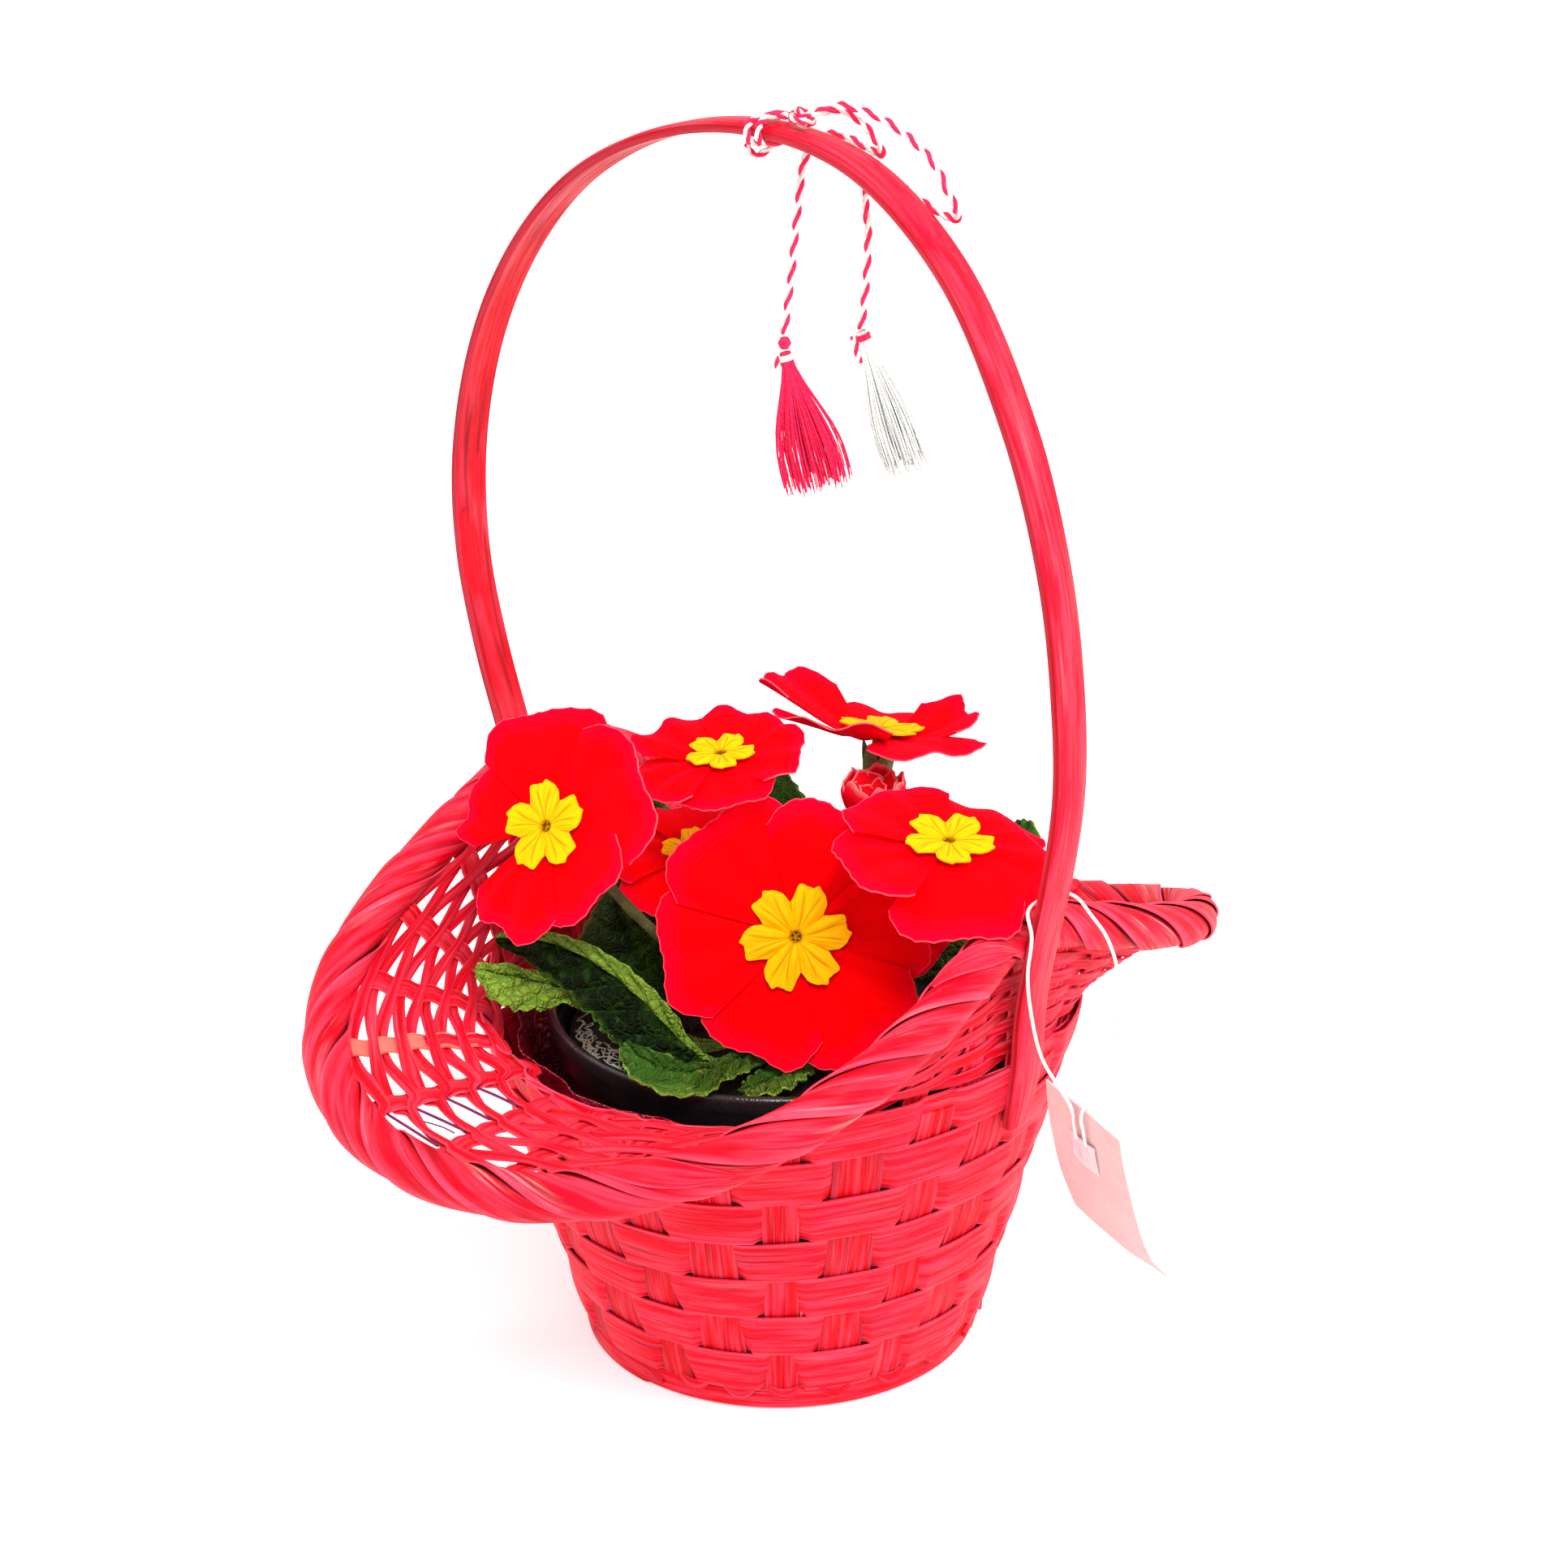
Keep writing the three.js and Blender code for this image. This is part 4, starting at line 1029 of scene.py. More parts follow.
@dataclass
class Studio:
    """The camera, the pale floor and the soft lights."""

    azimuth: float = -49.48
    elevation: float = 21.51
    roll: float = -0.413
    distance: float = 663.8
    aim_height: float = 125.17
    aim_right: float = 1.29
    focal_share: float = 2.02003  # focal length over the frame's width
    sensor: float = 36.0
    sky_strength: float = 0.84
    floor_glow: float = 0.38

    def camera(self) -> None:
        """Makes the camera at the angle and distance of the view."""
        back = Vector((
            sine(self.azimuth) * cosine(self.elevation),
            -cosine(self.azimuth) * cosine(self.elevation),
            sine(self.elevation),
        ))
        level = Vector((cosine(self.azimuth), sine(self.azimuth), 0))
        upright = back.cross(level)
        right = level * cosine(self.roll) + upright * sine(self.roll)
        up = back.cross(right)
        aim = Vector((0, 0, self.aim_height)) + right * self.aim_right
        lens = bpy.data.cameras.new("view")
        lens.sensor_width = self.sensor
        lens.lens = self.sensor * self.focal_share
        lens.clip_start, lens.clip_end = 0.01, 50.0
        camera = bpy.data.objects.new("view", lens)
        bpy.context.scene.collection.objects.link(camera)
        camera.rotation_mode = "QUATERNION"
        camera.rotation_quaternion = Matrix((right, up, back)).transposed().to_quaternion()
        camera.location = (aim + back * self.distance) * MM
        bpy.context.scene.camera = camera

    def lamp(self, name: str, at: Vector, size: float, power: float, colour: Colour) -> None:
        """Adds a square area light that faces the plant.

        Args:
            name: its name.
            at: its place, in millimetres.
            size: its side, in metres.
            power: in watts.
            colour: its colour.
        """
        light = bpy.data.lights.new(name, "AREA")
        light.shape = "SQUARE"
        light.size, light.energy, light.color = size, power, colour
        lamp = bpy.data.objects.new(name, light)
        bpy.context.scene.collection.objects.link(lamp)
        lamp.location = at * MM
        lamp.rotation_mode = "QUATERNION"
        lamp.rotation_quaternion = (at - Vector((0, 0, 120))).to_track_quat("Z", "Y")

    def light_and_floor(self) -> None:
        """Makes the even white light and the floor."""
        scene = bpy.context.scene
        scene.view_settings.view_transform = "Standard"
        world = bpy.data.worlds.new("white room")
        scene.world = world
        world.use_nodes = True
        sky = world.node_tree.nodes["Background"].inputs
        sky[0].default_value = (1.0, 1.0, 1.0, 1.0)
        sky[1].default_value = self.sky_strength
        self.lamp("key", Vector((-520, -600, 1080)), 0.5, 15.0, (1.0, 0.99, 0.975))
        self.lamp("side", Vector((500, -1000, 620)), 0.5, 7.0, (1.0, 1.0, 1.0))
        self.lamp("back", Vector((-300, 900, 900)), 0.8, 4.0, (0.98, 0.99, 1.0))
        deselect()
        bpy.ops.mesh.primitive_plane_add(size=80, location=(0, 0, 0))
        floor = bpy.context.object
        floor.name = "floor"
        material, tree = new_material("pale floor")
        patch = tree.group(mottle_group(), 3.0).outputs["Patch"]
        colour = tree.blend(patch, (0.80, 0.80, 0.80), (0.82, 0.82, 0.82))
        close_material(material, tree, colour, Gloss(roughness=0.9, specular=0.1))
        shader = next(node for node in material.node_tree.nodes if node.type == "BSDF_PRINCIPLED")
        shader.inputs["Emission Color"].default_value = (1.0, 1.0, 1.0, 1.0)
        shader.inputs["Emission Strength"].default_value = self.floor_glow
        paint(floor, material)


# ---------------------------------------------------------------- the twisted cord, its tassels and the tag


class Lay(Enum):
    """How a cord lies."""

    HANGING = "hanging"
    LOOSE = "loose"


def twisted(name: str, points: Sequence[Vector], finishes: Finishes, diameter: float, pitch: float) -> Piece:
    """Two strands, one red and one white, twisted round each other along points.

    Args:
        name: the cord's name.
        points: its middle line, evenly spaced, in millimetres.
        finishes: the object's materials.
        diameter: the whole cord's, in millimetres.
        pitch: the length of one full twist.

    Returns:
        The cord's mesh; its first material is red and its second white.
    """
    frames = carried_frames(points)
    reach = diameter * 0.235
    strand = diameter * 0.27
    step = Line(points).length / (len(points) - 1)
    strands = []
    for half in (0, 1):
        route = []
        for index, point in enumerate(points):
            side, lift = frames[index]
            angle = 2 * math.pi * (index * step / pitch + half / 2)
            route.append(point + side * (reach * math.cos(angle)) + lift * (reach * math.sin(angle)))
        stuff = finishes.red_thread if half == 0 else finishes.white_thread
        piece = paint(tube(f"{name}_{half}", route, strand, sides=7, tone=0.5 + 0.2 * half), stuff)
        strands.append(soften(piece))
    return join(name, strands)


@dataclass
class GiftCord:
    """A red and white cord knotted on the hoop, with a bow and two hanging tassels."""

    finishes: Finishes
    knot: Vector = field(default_factory=lambda: Vector((-16.4, -21.3, 268.2)))
    wrap_y: float = -14.5
    pitch: float = 5.2
    threads: int = 210
    red_route: tuple = (
        (-14.9, -24.6, 269.4), (-14.6, -29.4, 270.2), (-14.2, -33.6, 268.4), (-12.6, -36, 264.9),
        (-9.8, -35, 261.9), (-9.5, -30, 263.2), (-9.7, -24.5, 264.6), (-10.4, -20, 263.6),
        (-11.9, -18.1, 259.4), (-12.8, -17.3, 251.3), (-13.4, -16.6, 243), (-13.8, -16.2, 237),
        (-14.3, -15.5, 230.5), (-14.6, -15.2, 226.2),
    )
    white_route: tuple = (
        (-17.3, -25, 269.4), (-16.6, -29.8, 271.4), (-15.3, -38.4, 270), (-15.1, -45.5, 267),
        (-15.7, -51.9, 262.9), (-15.6, -54.9, 258.4), (-13.2, -55, 254.8), (-10.1, -52.6, 252.2),
        (-9.7, -47.4, 253.2), (-9.9, -41, 256.2), (-10.3, -35.6, 258), (-11.2, -32.6, 255.4),
        (-11.3, -33, 246.9), (-11.6, -32.6, 236.2), (-12.1, -32, 229.2),
    )

    def hanging(self, name: str, route: tuple, far: Sequence[Piece]) -> None:
        """Args:
            name: the CAD node and the piece's name stem.
            route: the points of its route.
            far: the pieces on its far end; not used.
        """
        line = Line(through([Vector(p) for p in route]))
        points = line.even(round(line.length / 0.45))
        cord = twisted(f"{name}_twist", points, self.finishes, CORD_DIAMETER, self.pitch)
        dress(cord, "twisted_cord", (), name)
        LOG.info("%s: %.0f mm of cord", name, line.length)

    def tassel(self, name: str, top: Vector, bottom: Vector, spread: float, red: bool) -> Piece:
        """A fan of loose threads, bound close under its top, with the cord's short tail beside it.

        Args:
            name: the CAD node that it replaces.
            top: the top of its head.
            bottom: the middle of its ragged end.
            spread: half its width at the bottom.
            red: whether its threads are red.

        Returns:
            The tassel.
        """
        dice = random.Random(len(name) * 7)
        axis = (bottom - top).normalized()
        wide = Vector((0.648, -0.762, 0))
        wide = (wide - axis * wide.dot(axis)).normalized()
        deep = axis.cross(wide)
        length = (bottom - top).length
        own, other = self.finishes.red_thread, self.finishes.white_thread
        if not red:
            own, other = other, own
        threads = []
        for k in range(self.threads):
            angle = dice.uniform(0, 2 * math.pi)
            reach = math.sqrt(dice.random())
            across, depth = reach * math.cos(angle), reach * math.sin(angle)
            long = dice.uniform(0.86, 1.0) if k % 9 else dice.uniform(1.0, 1.035)
            bend = dice.uniform(-0.6, 0.6)
            sway = dice.uniform(-0.5, 0.5)
            route = []
            for t in shares(8):
                share = ramp(0.03, 0.85, t)
                width = mix(1.0, spread, share ** 0.9)
                thick = mix(1.0, 2.5, share)
                at = top + axis * (t * length * long)
                at += wide * (across * width + sway * math.sin(3 * t + k) * t * 0.8)
                at += deep * (depth * thick + bend * math.sin(4 * t + k * 1.7) * t * 0.6)
                route.append(at)
            threads.append(paint(tube(f"thread_{k}", route, 0.145, sides=4, tone=dice.random()), own))
        fan = join(f"{name}_threads", threads)

        def core(u: float, v: float) -> Vector:
            """A point on the ridged core under the bands."""
            radius = 0.0 if v in (0.0, 1.0) else 0.85 + 0.25 * math.sin(math.pi * min(1, v * 1.4))
            ridge = 0.07 * math.cos(2 * math.pi * (9 * u + 2 * v))
            return swung(top + axis * (v * 0.13 * length), wide, deep, radius + ridge, 360 * u)

        cap = paint(weld(sheet(f"{name}_head", 28, 25, core, (9, 4)), outward=True), own)
        bands = []
        for turn_number in range(3):
            centre = top + axis * (length * (0.02 + 0.014 * turn_number))
            ring = [swung(centre, wide, deep, 1.3, a) + axis * (0.25 * a / 360) for a in range(0, 361, 15)]
            bands.append(paint(tube(f"band_{turn_number}", ring, 0.22, sides=6, tone=0.6), other))
        reach = 2.6 if red else 5.2
        for strand, stuff in enumerate((own, other)):
            route = []
            for t in shares(12):
                phase = 180 * strand + 180 * reach * t / 1.6
                at = top + axis * (0.5 + reach * t) - wide * (1.75 + 0.4 * t)
                route.append(swung(at, wide, deep, 0.32, phase))
            bands.append(paint(tube(f"tail_{strand}", route, 0.4, sides=6, tone=0.6), stuff))
        whole = soften(join(f"{name}_fan", [fan, cap, *bands]))
        dress(whole, "red_thread" if red else "white_thread", (), name)
        return whole

    def bead(self) -> Piece:
        """The small knot over the red tassel, a close ball of turned thread."""
        centre = Vector((-14.65, -15.15, 224.4))
        turns = []
        for k, (tilt, spin) in enumerate(((0, 0), (60, 20), (120, 75), (35, 130), (90, 160))):
            pole = turn(Vector((0, 0, 1)), Vector((1, 0, 0)), tilt)
            pole = turn(pole, Vector((0, 0, 1)), spin)
            side = pole.orthogonal().normalized()
            lift = pole.cross(side)
            ring = [swung(centre, side, lift, 0.85, a) for a in range(0, 361, 15)]
            coil = tube(f"turn_{k}", ring, 0.48, tone=0.2 + 0.15 * k)
            turns.append(paint(coil, self.finishes.red_thread))
        ball = soften(join("cord_bead_knot", turns))
        dress(ball, "red_thread", (), "cord_bead")
        return ball

    def top_knot(self) -> None:
        """The turn round the slat, the knot's heap of loops and the small loop under it."""
        clear = 0.5 + CORD_DIAMETER / 2
        middle = Vector((STRAP_LEAN * (265.4 - STRAP_LEAN_FROM), self.wrap_y, 265.45))

        def wrap(shift: float, tilt: float) -> list[Vector]:
            """A rounded loop round the slat."""
            ring = []
            for t in shares(96):
                c, s = cosine(360 * t), sine(360 * t)
                width = (STRAP_WIDTH / 2 + clear) * math.copysign(abs(c) ** 0.6, c)
                height = (STRAP_THICKNESS / 2 + clear) * math.copysign(abs(s) ** 0.6, s)
                ring.append(middle + Vector((width, shift + tilt * c, height)))
            return ring

        parts = [
            twisted("wrap_a", wrap(-0.7, 0.5), self.finishes, 1.5, self.pitch),
            twisted("wrap_b", wrap(0.9, -0.6), self.finishes, 1.5, self.pitch),
        ]
        loops = (
            (15, 10, 2.6, 1.9), (70, 55, 2.3, 1.5), (110, 120, 2.5, 1.7),
            (35, 200, 2.1, 1.6), (80, 290, 2.4, 1.5),
        )
        for k, (tilt, spin, long, short) in enumerate(loops):
            pole = turn(turn(Vector((0, 0, 1)), Vector((1, 0, 0)), tilt), Vector((0, 0, 1)), spin)
            side = pole.orthogonal().normalized()
            lift = pole.cross(side)
            ring = []
            for t in shares(48):
                at = side * (long * cosine(360 * t)) + lift * (short * sine(360 * t))
                at.z *= 0.62
                ring.append(self.knot + at)
            parts.append(twisted(f"loop_{k}", ring, self.finishes, 1.35, 4.2))
        bridge = through([Vector((middle.x, self.wrap_y, 267.75)), Vector((-16.8, -17.5, 268.2)), self.knot])
        parts.append(twisted("bridge", bridge, self.finishes, 1.5, 4.6))
        under = through([
            Vector((middle.x + 1, self.wrap_y + 0.4, 263.1)), Vector((-16.4, -12, 260.8)),
            Vector((-17.1, -9.8, 260.2)), Vector((-17.7, -8.8, 262.2)),
        ])
        parts.append(twisted("under", Line(under).even(28), self.finishes, 1.45, 4.6))
        dress(join("cord_knot_heap", parts), "twisted_cord", (), "cord_knot")

    def build(self) -> None:
        """Makes the knot, both ends, the bead and the tassels."""
        self.top_knot()
        bead = self.bead()
        ends = (Vector((-14.6, -15.2, 222.6)), Vector((-10.3, -20.2, 195.7)))
        red = self.tassel("tassel_red", *ends, 7.0, True)
        ends = (Vector((-12.1, -32, 228.7)), Vector((-6.1, -39, 201.4)))
        white = self.tassel("tassel_white", *ends, 4.4, False)
        self.hanging("cord_red_end", self.red_route, [bead, red])
        self.hanging("cord_white_end", self.white_route, [white])


@dataclass
class Tag:
    """The blank card, its strip of tape and the thread that it hangs by."""

    finishes: Finishes
    corners: tuple = ((-3.3, -73.1, 81), (-6, -93, 75.1), (19.8, -87.4, 29.5), (20, -65, 39.9))
    thread_route: tuple = (
        (-8.4, -75.6, 88), (-10.6, -74.4, 97), (-11.8, -73.9, 107), (-10.9, -74, 115), (-8.6, -71.3, 118.9),
        (-4, -70.9, 119.8), (1.2, -71.1, 119.9), (2.7, -74.6, 119.2), (1.9, -78.8, 116.9),
        (1.9, -82.9, 113), (2, -85.6, 106.4), (1.9, -86.3, 96), (0.4, -85.6, 87),
    )

    def normal(self) -> Vector:
        """The way that the card's front faces."""
        a, b, _, d = (Vector(c) for c in self.corners)
        normal = (b - a).cross(d - a).normalized()
        return normal if normal.dot(Vector((-0.7, -0.6, 0.37))) > 0 else -normal

    def point(self, u: float, v: float) -> Vector:
        """A point of the card: u along its top edge, v down it."""
        a, b, c, d = (Vector(p) for p in self.corners)
        return a.lerp(b, u).lerp(d.lerp(c, u), v) + self.normal() * (1.6 * math.sin(math.pi * v))

    def build(self) -> None:
        """Makes the card, the tape and the thread."""
        normal = self.normal()

        def on_card(u: float, v: float) -> Vector:
            """A point on the card, with its bent corner."""
            dog_ear = 1.6 * ramp(0.55, 1.0, u) * ramp(0.72, 1.0, v) ** 2
            return self.point(u, v) + normal * (0.25 * wobble(2 * u, 3 * v) - dog_ear)

        plate = soften(thicken(sheet("tag_card_blank", 16, 36, on_card, (20, 48)), 0.45))
        dress(plate, "card", (self.finishes.card,), "tag_card")

        def on_tape(u: float, v: float) -> Vector:
            """A point on the tape, just off the card."""
            fold = 0.28 * abs(wobble(7 * u, 5 * v, 4.0))
            height = 0.75 + fold + 0.2 * math.sin(math.pi * u)
            return self.point(mix(0.33, 0.63, u), mix(0.19, 0.37, v)) + normal * height

        tape = soften(thicken(sheet("tag_tape_strip", 14, 14, on_tape, (6, 9)), 0.18))
        dress(tape, "tape", (self.finishes.tape,), "tag_tape")

        def end(u: float, v: float) -> Vector:
            """A point of the thread where it lies on the card."""
            return self.point(u, v) + normal * 1.35

        route = [
            end(0.42, 0.19), end(0.41, 0.11), end(0.4, 0), *(Vector(p) for p in self.thread_route),
            end(0.55, -0.02), end(0.54, 0.1), end(0.54, 0.19),
        ]
        line = Line(through(route))
        points = line.even(round(line.length / 0.9))
        thread = soften(tube("tag_thread_loop", points, THREAD_DIAMETER / 2, tone=0.7))
        dress(thread, "tag_cord", (self.finishes.white_thread,), "tag_thread")
        LOG.info("tag thread: %.0f mm", line.length)


# ---------------------------------------------------------------- basket


def neck_height(bearing: float) -> float:
    """Height of the neck, where the brim begins."""
    return NECK_HEIGHT - NECK_RISE * cosine(2 * bearing)


def bucket_radius(z: float) -> float:
    """Outer radius of the bucket at a height."""
    return BUCKET_BASE_RADIUS + BUCKET_SLOPE * z


def bucket_normal(bearing: float) -> Vector:
    """The way that the bucket's wall looks."""
    return (polar(1, bearing, 0) - Vector((0, 0, BUCKET_SLOPE))).normalized()


def rim_point(bearing: float) -> Vector:
    """The middle of the bound rim: a saddle, pinched in at the handle."""
    radius = 86 + 17.4 * cosine(2 * bearing) - 3.7 * cosine(4 * bearing) - 1.5 * sine(4 * bearing)
    radius += 1.3 * sine(bearing)
    height = 90.1 - 4.1 * cosine(bearing) - 22 * cosine(2 * bearing) - 1.2 * sine(2 * bearing)
    height += -3.6 * sine(3 * bearing) + 1.1 * cosine(4 * bearing) - 1.6 * sine(4 * bearing)
    return polar(radius, bearing, height)


def rim_frame(bearing: float) -> tuple[Vector, Vector]:
    """The ways square to the rim: level towards the basket's inside, and up."""
    direction = (rim_point(bearing + 0.5) - rim_point(bearing - 0.5)).normalized()
    inward = Vector((0, 0, 1)).cross(direction).normalized()
    return inward, direction.cross(inward)


def brim_point(bearing: float, t: float) -> Vector:
    """A point of the brim, from its edge at the neck (0) to its edge at the rim (1)."""
    z = neck_height(bearing) + 0.3
    start = polar(bucket_radius(z) - BUCKET_WALL / 2 - 0.4, bearing, z)
    rim = rim_point(bearing)
    end = rim - (rim - start).normalized() * 5.35
    point = start.lerp(end, t)
    point.z += 1.7 * min(1.0, max(0.0, t) / 0.06) * (1 - t)
    return point


def brim_normal(bearing: float, t: float) -> Vector:
    """The way that the brim's upper face looks."""
    along = brim_point(bearing + 1, t) - brim_point(bearing - 1, t)
    out = brim_point(bearing, t + 0.05) - brim_point(bearing, t - 0.05)
    return out.cross(along).normalized()


def strip(
    name: str,
    steps: int,
    across: int,
    line: Callable[[float], tuple[Vector, Vector]],
    width: Callable[[float], float],
    tone: Tone,
    crown: float = 0.0,
    thickness: float = 0.5,
    length: float = 100.0,
) -> Piece:
    """A split strip that follows a line on a surface.

    Args:
        name: its name.
        steps: cells along it.
        across: cells across it.
        line: gives the middle and the outward normal for a share of the length.
        width: its width for a share of the length, in millimetres.
        tone: its tone.
        crown: how far its middle stands above its edges.
        thickness: in millimetres.
        length: its length for the UV map, in millimetres.

    Returns:
        The strip, with its thickness.
    """
    spots = [line(t) for t in shares(steps)]
    sides = []
    for i in range(steps + 1):
        tangent = spots[min(i + 1, steps)][0] - spots[max(i - 1, 0)][0]
        sides.append(tangent.cross(spots[i][1]).normalized())

    def place(u: float, v: float) -> Vector:
        """A point across the strip at a row of cells."""
        i = round(v * steps)
        centre, normal = spots[i]
        a = 2 * u - 1
        return centre + sides[i] * (a * width(v) / 2) + normal * (crown * (1 - a * a))

    start = sum(ord(letter) * (k + 3) for k, letter in enumerate(name)) * 1.7 % 900
    made = sheet(name, across, steps, place, (max(width(0.5), 1.0), length), tone, uv_start=start)
    return thicken(made, thickness)


@dataclass
class Basket:
    """The woven bucket, its open brim, the bound rim and the hoop handle."""

    finishes: Finishes
    dice: random.Random = field(default_factory=lambda: random.Random(24))
    rim_turns: int = 11
    rim_strips: int = 3
    hoop: tuple = (
        (-62.6, 66), (-65.8, 79), (-68, 96), (-71.3, 110), (-74.9, 124), (-78.6, 144), (-79, 166),
        (-76.6, 190), (-69.4, 217), (-55.6, 244), (-36, 260.5), (-12, 265.6), (12, 262.3), (36, 251.4),
        (55, 234.2), (69.5, 212), (78.6, 186), (81, 162), (78.6, 141), (74.4, 122), (70.6, 106),
        (67.4, 90), (65.6, 79), (62.6, 66),
    )

    def row_height(self, bearing: float, step: float) -> float:
        """Height of a weave row's middle line; step counts rows from the foot band."""
        return mix(FOOT_BAND, neck_height(bearing), step * WEAVE_PITCH)

    def row_at(self, bearing: float, z: float) -> float:
        """The weave row at a height, counted from the middle of the lowest one."""
        return (z - FOOT_BAND) / ((neck_height(bearing) - FOOT_BAND) * WEAVE_PITCH) - 0.5

    def stake_half(self, number: int) -> float:
        """Half the width of a stake: narrow and wide ones take turns."""
        return 3.8 if number % 2 == 0 else 5.2

    def over(self, bearing: float, row: int) -> float:
        """How far a weaver is over the stakes here: 1 outside them, -1 behind them."""
        place = (bearing - FIRST_STAKE) / STAKE_STEP
        nearest = round(place)
        behind = nearest % 2 == row % 2
        stake = nearest if behind else (nearest + 1 if place > nearest else nearest - 1)
        reach = abs(place - stake) * STAKE_STEP * math.pi / 180 * STAKE_CIRCLE
        half = self.stake_half(stake)
        return 2 * ramp(half - 1.0, half + 2.3, reach) - 1

    def weaver(self, row: int) -> Piece:
        """One wide weaver round the bucket."""
        shift = self.dice.uniform(0, 9)

        def line(v: float) -> tuple[Vector, Vector]:
            """Weaves the middle line over and under the stakes."""
            bearing = 360 * v
            stray = 0.35 * wobble(4 * cosine(bearing) + shift, 4 * sine(bearing), row)
            z = self.row_height(bearing, row + 0.5) + stray
            over = self.over(bearing, row)
            radius = bucket_radius(z) - 0.62 + 0.82 * over
            return polar(radius, bearing, z), bucket_normal(bearing)

        def width(v: float) -> float:
            """The width, a little less behind the stakes."""
            over = self.over(360 * v, row)
            pitch = (neck_height(360 * v) - FOOT_BAND) * WEAVE_PITCH
            return pitch * (1.0 + 0.025 * over) + 0.3 * wobble(9 * v, row, shift)

        def tone(u: float, v: float) -> float:
            """Painted shade where the weaver is tucked behind a stake and along its edges, over its own
            uneven tone.
            """
            # painted shade where the weaver dives behind a stake
            tuck = ramp(0.55, -0.2, self.over(360 * v, row))
            # painted shade along the weaver's edges
            lip = 0.35 * ramp(0.75, 1.0, abs(2 * u - 1))
            stray = 0.45 * wobble(7 * cosine(360 * v) + shift, 7 * sine(360 * v), row)
            return 0.85 + stray - 0.7 * tuck - lip

        return strip(f"weaver_{row}", 400, 6, line, width, tone, crown=0.5, thickness=0.5, length=360.0)

    def stake(self, number: int) -> Piece:
        """One upright stake of the bucket, from the foot to the neck."""
        bearing = FIRST_STAKE + STAKE_STEP * number
        wide = 2 * self.stake_half(number)

        def line(v: float) -> tuple[Vector, Vector]:
            """Weaves the middle line against the weavers."""
            z = mix(0.6, neck_height(bearing) - 0.6, v)
            swing = math.cos(math.pi * (self.row_at(bearing, z) + number)) if z > FOOT_BAND else -0.8
            radius = bucket_radius(z) - 0.95 + 0.33 * swing
            return polar(radius, bearing, z), bucket_normal(bearing)

        tone = self.dice.uniform(-0.1, 0.3)

        def shade(u: float, v: float) -> float:
            """Painted shade along the edges, over the stake's own tone."""
            return tone - 0.4 * ramp(0.8, 1.0, abs(2 * u - 1))

        def width(v: float) -> float:
            """Wider towards the neck."""
            return wide * mix(0.86, 1.03, v)

        return strip(f"stake_{number}", 70, 6, line, width, shade, crown=0.15, thickness=0.6, length=74.0)

    def sliver(self, bearing: float, low: float, high: float) -> Piece:
        """A pale splinter standing beside a stake, between two heights."""
        name = f"sliver_{round(10 * bearing)}_{round(low)}"

        def line(v: float) -> tuple[Vector, Vector]:
            """Runs up the wall, in and out with the rows."""
            z = mix(low, high, v)
            swing = math.cos(2 * math.pi * self.row_at(bearing, z))
            return polar(bucket_radius(z) - 0.2 + 0.35 * swing, bearing, z), polar(1, bearing, 0)

        return strip(name, 24, 1, line, lambda v: 0.55, tone=1.42, thickness=0.3, length=20.0)

    def foot(self) -> list[Piece]:
        """The plain band round the foot, its crossing ends and the floor."""
        pieces = [self.foot_strip(k, *row) for k, row in enumerate(FOOT_STRIPS)]
        pieces += [self.foot_curl(k, bearing) for k, bearing in enumerate(FOOT_CURLS)]
        pieces += [self.floor_strip(k) for k in range(STAKES // 2)]
        return pieces

    def foot_strip(self, number: int, start: float, reach: float, low: float, high: float) -> Piece:
        """One strip of the band, from a bearing on, between the heights of its ends."""
        lift = 0.15 * number

        def line(v: float) -> tuple[Vector, Vector]:
            """Runs round the foot, with both ends out."""
            bearing = start + reach * v
            ends = 1.0 - ramp(0.0, 0.05, v) * ramp(0.0, 0.05, 1 - v)
            z = mix(low, high, v) + 0.2 * math.sin(5 * v + lift)
            return polar(bucket_radius(z) - 0.55 + lift + 0.6 * ends, bearing, z), polar(1, bearing, 0)

        def width(v: float) -> float:
            """Tapers at both ends."""
            return 5.0 * (1 - 0.75 * (1 - ramp(0.0, 0.07, v) * ramp(0.0, 0.07, 1 - v)))

        tone = 0.35 + 0.1 * number
        return strip(f"foot_{number}", 150, 4, line, width, tone, crown=0.3, thickness=0.6, length=110.0)

    def foot_curl(self, number: int, bearing: float) -> Piece:
        """The end of a stake that curls over the band."""
        def line(v: float) -> tuple[Vector, Vector]:
            """Bows out over the band."""
            at = bearing - 4.2 + 8.4 * v
            bow = math.sin(math.pi * v)
            z = 6.2 - 1.7 * bow + 0.35 * wobble(number, v)
            return polar(bucket_radius(z) + 0.15 + 0.45 * bow, at, z), polar(1, at, 0.3)

        def width(v: float) -> float:
            """Tapers at both ends."""
            return 2.2 * math.sin(math.pi * mix(0.12, 0.88, v))

        return strip(f"curl_{number}", 14, 3, line, width, tone=0.6, crown=0.2, thickness=0.35, length=8.0)

    def floor_strip(self, number: int) -> Piece:
        """One strip of the floor, straight across under the bucket."""
        side = polar(1, FIRST_STAKE + STAKE_STEP * number, 0)
        reach = BUCKET_BASE_RADIUS - 1.2

        def line(v: float) -> tuple[Vector, Vector]:
            """Runs from side to side."""
            return side * mix(-reach, reach, v) + Vector((0, 0, 0.9 + 0.09 * number)), Vector((0, 0, -1))

        tone = 0.1 + 0.06 * number
        return strip(f"cross_{number}", 16, 2, line, lambda v: 10.0, tone, length=84.0)

    def openness(self, bearing: float) -> float:
        """How loose the brim's weave is here: wide open over the low lobe, close by the handle."""
        return ramp(100, 108, bearing) * ramp(197, 186, bearing) + 0.6 * ramp(52, 40, apart(bearing, 0))

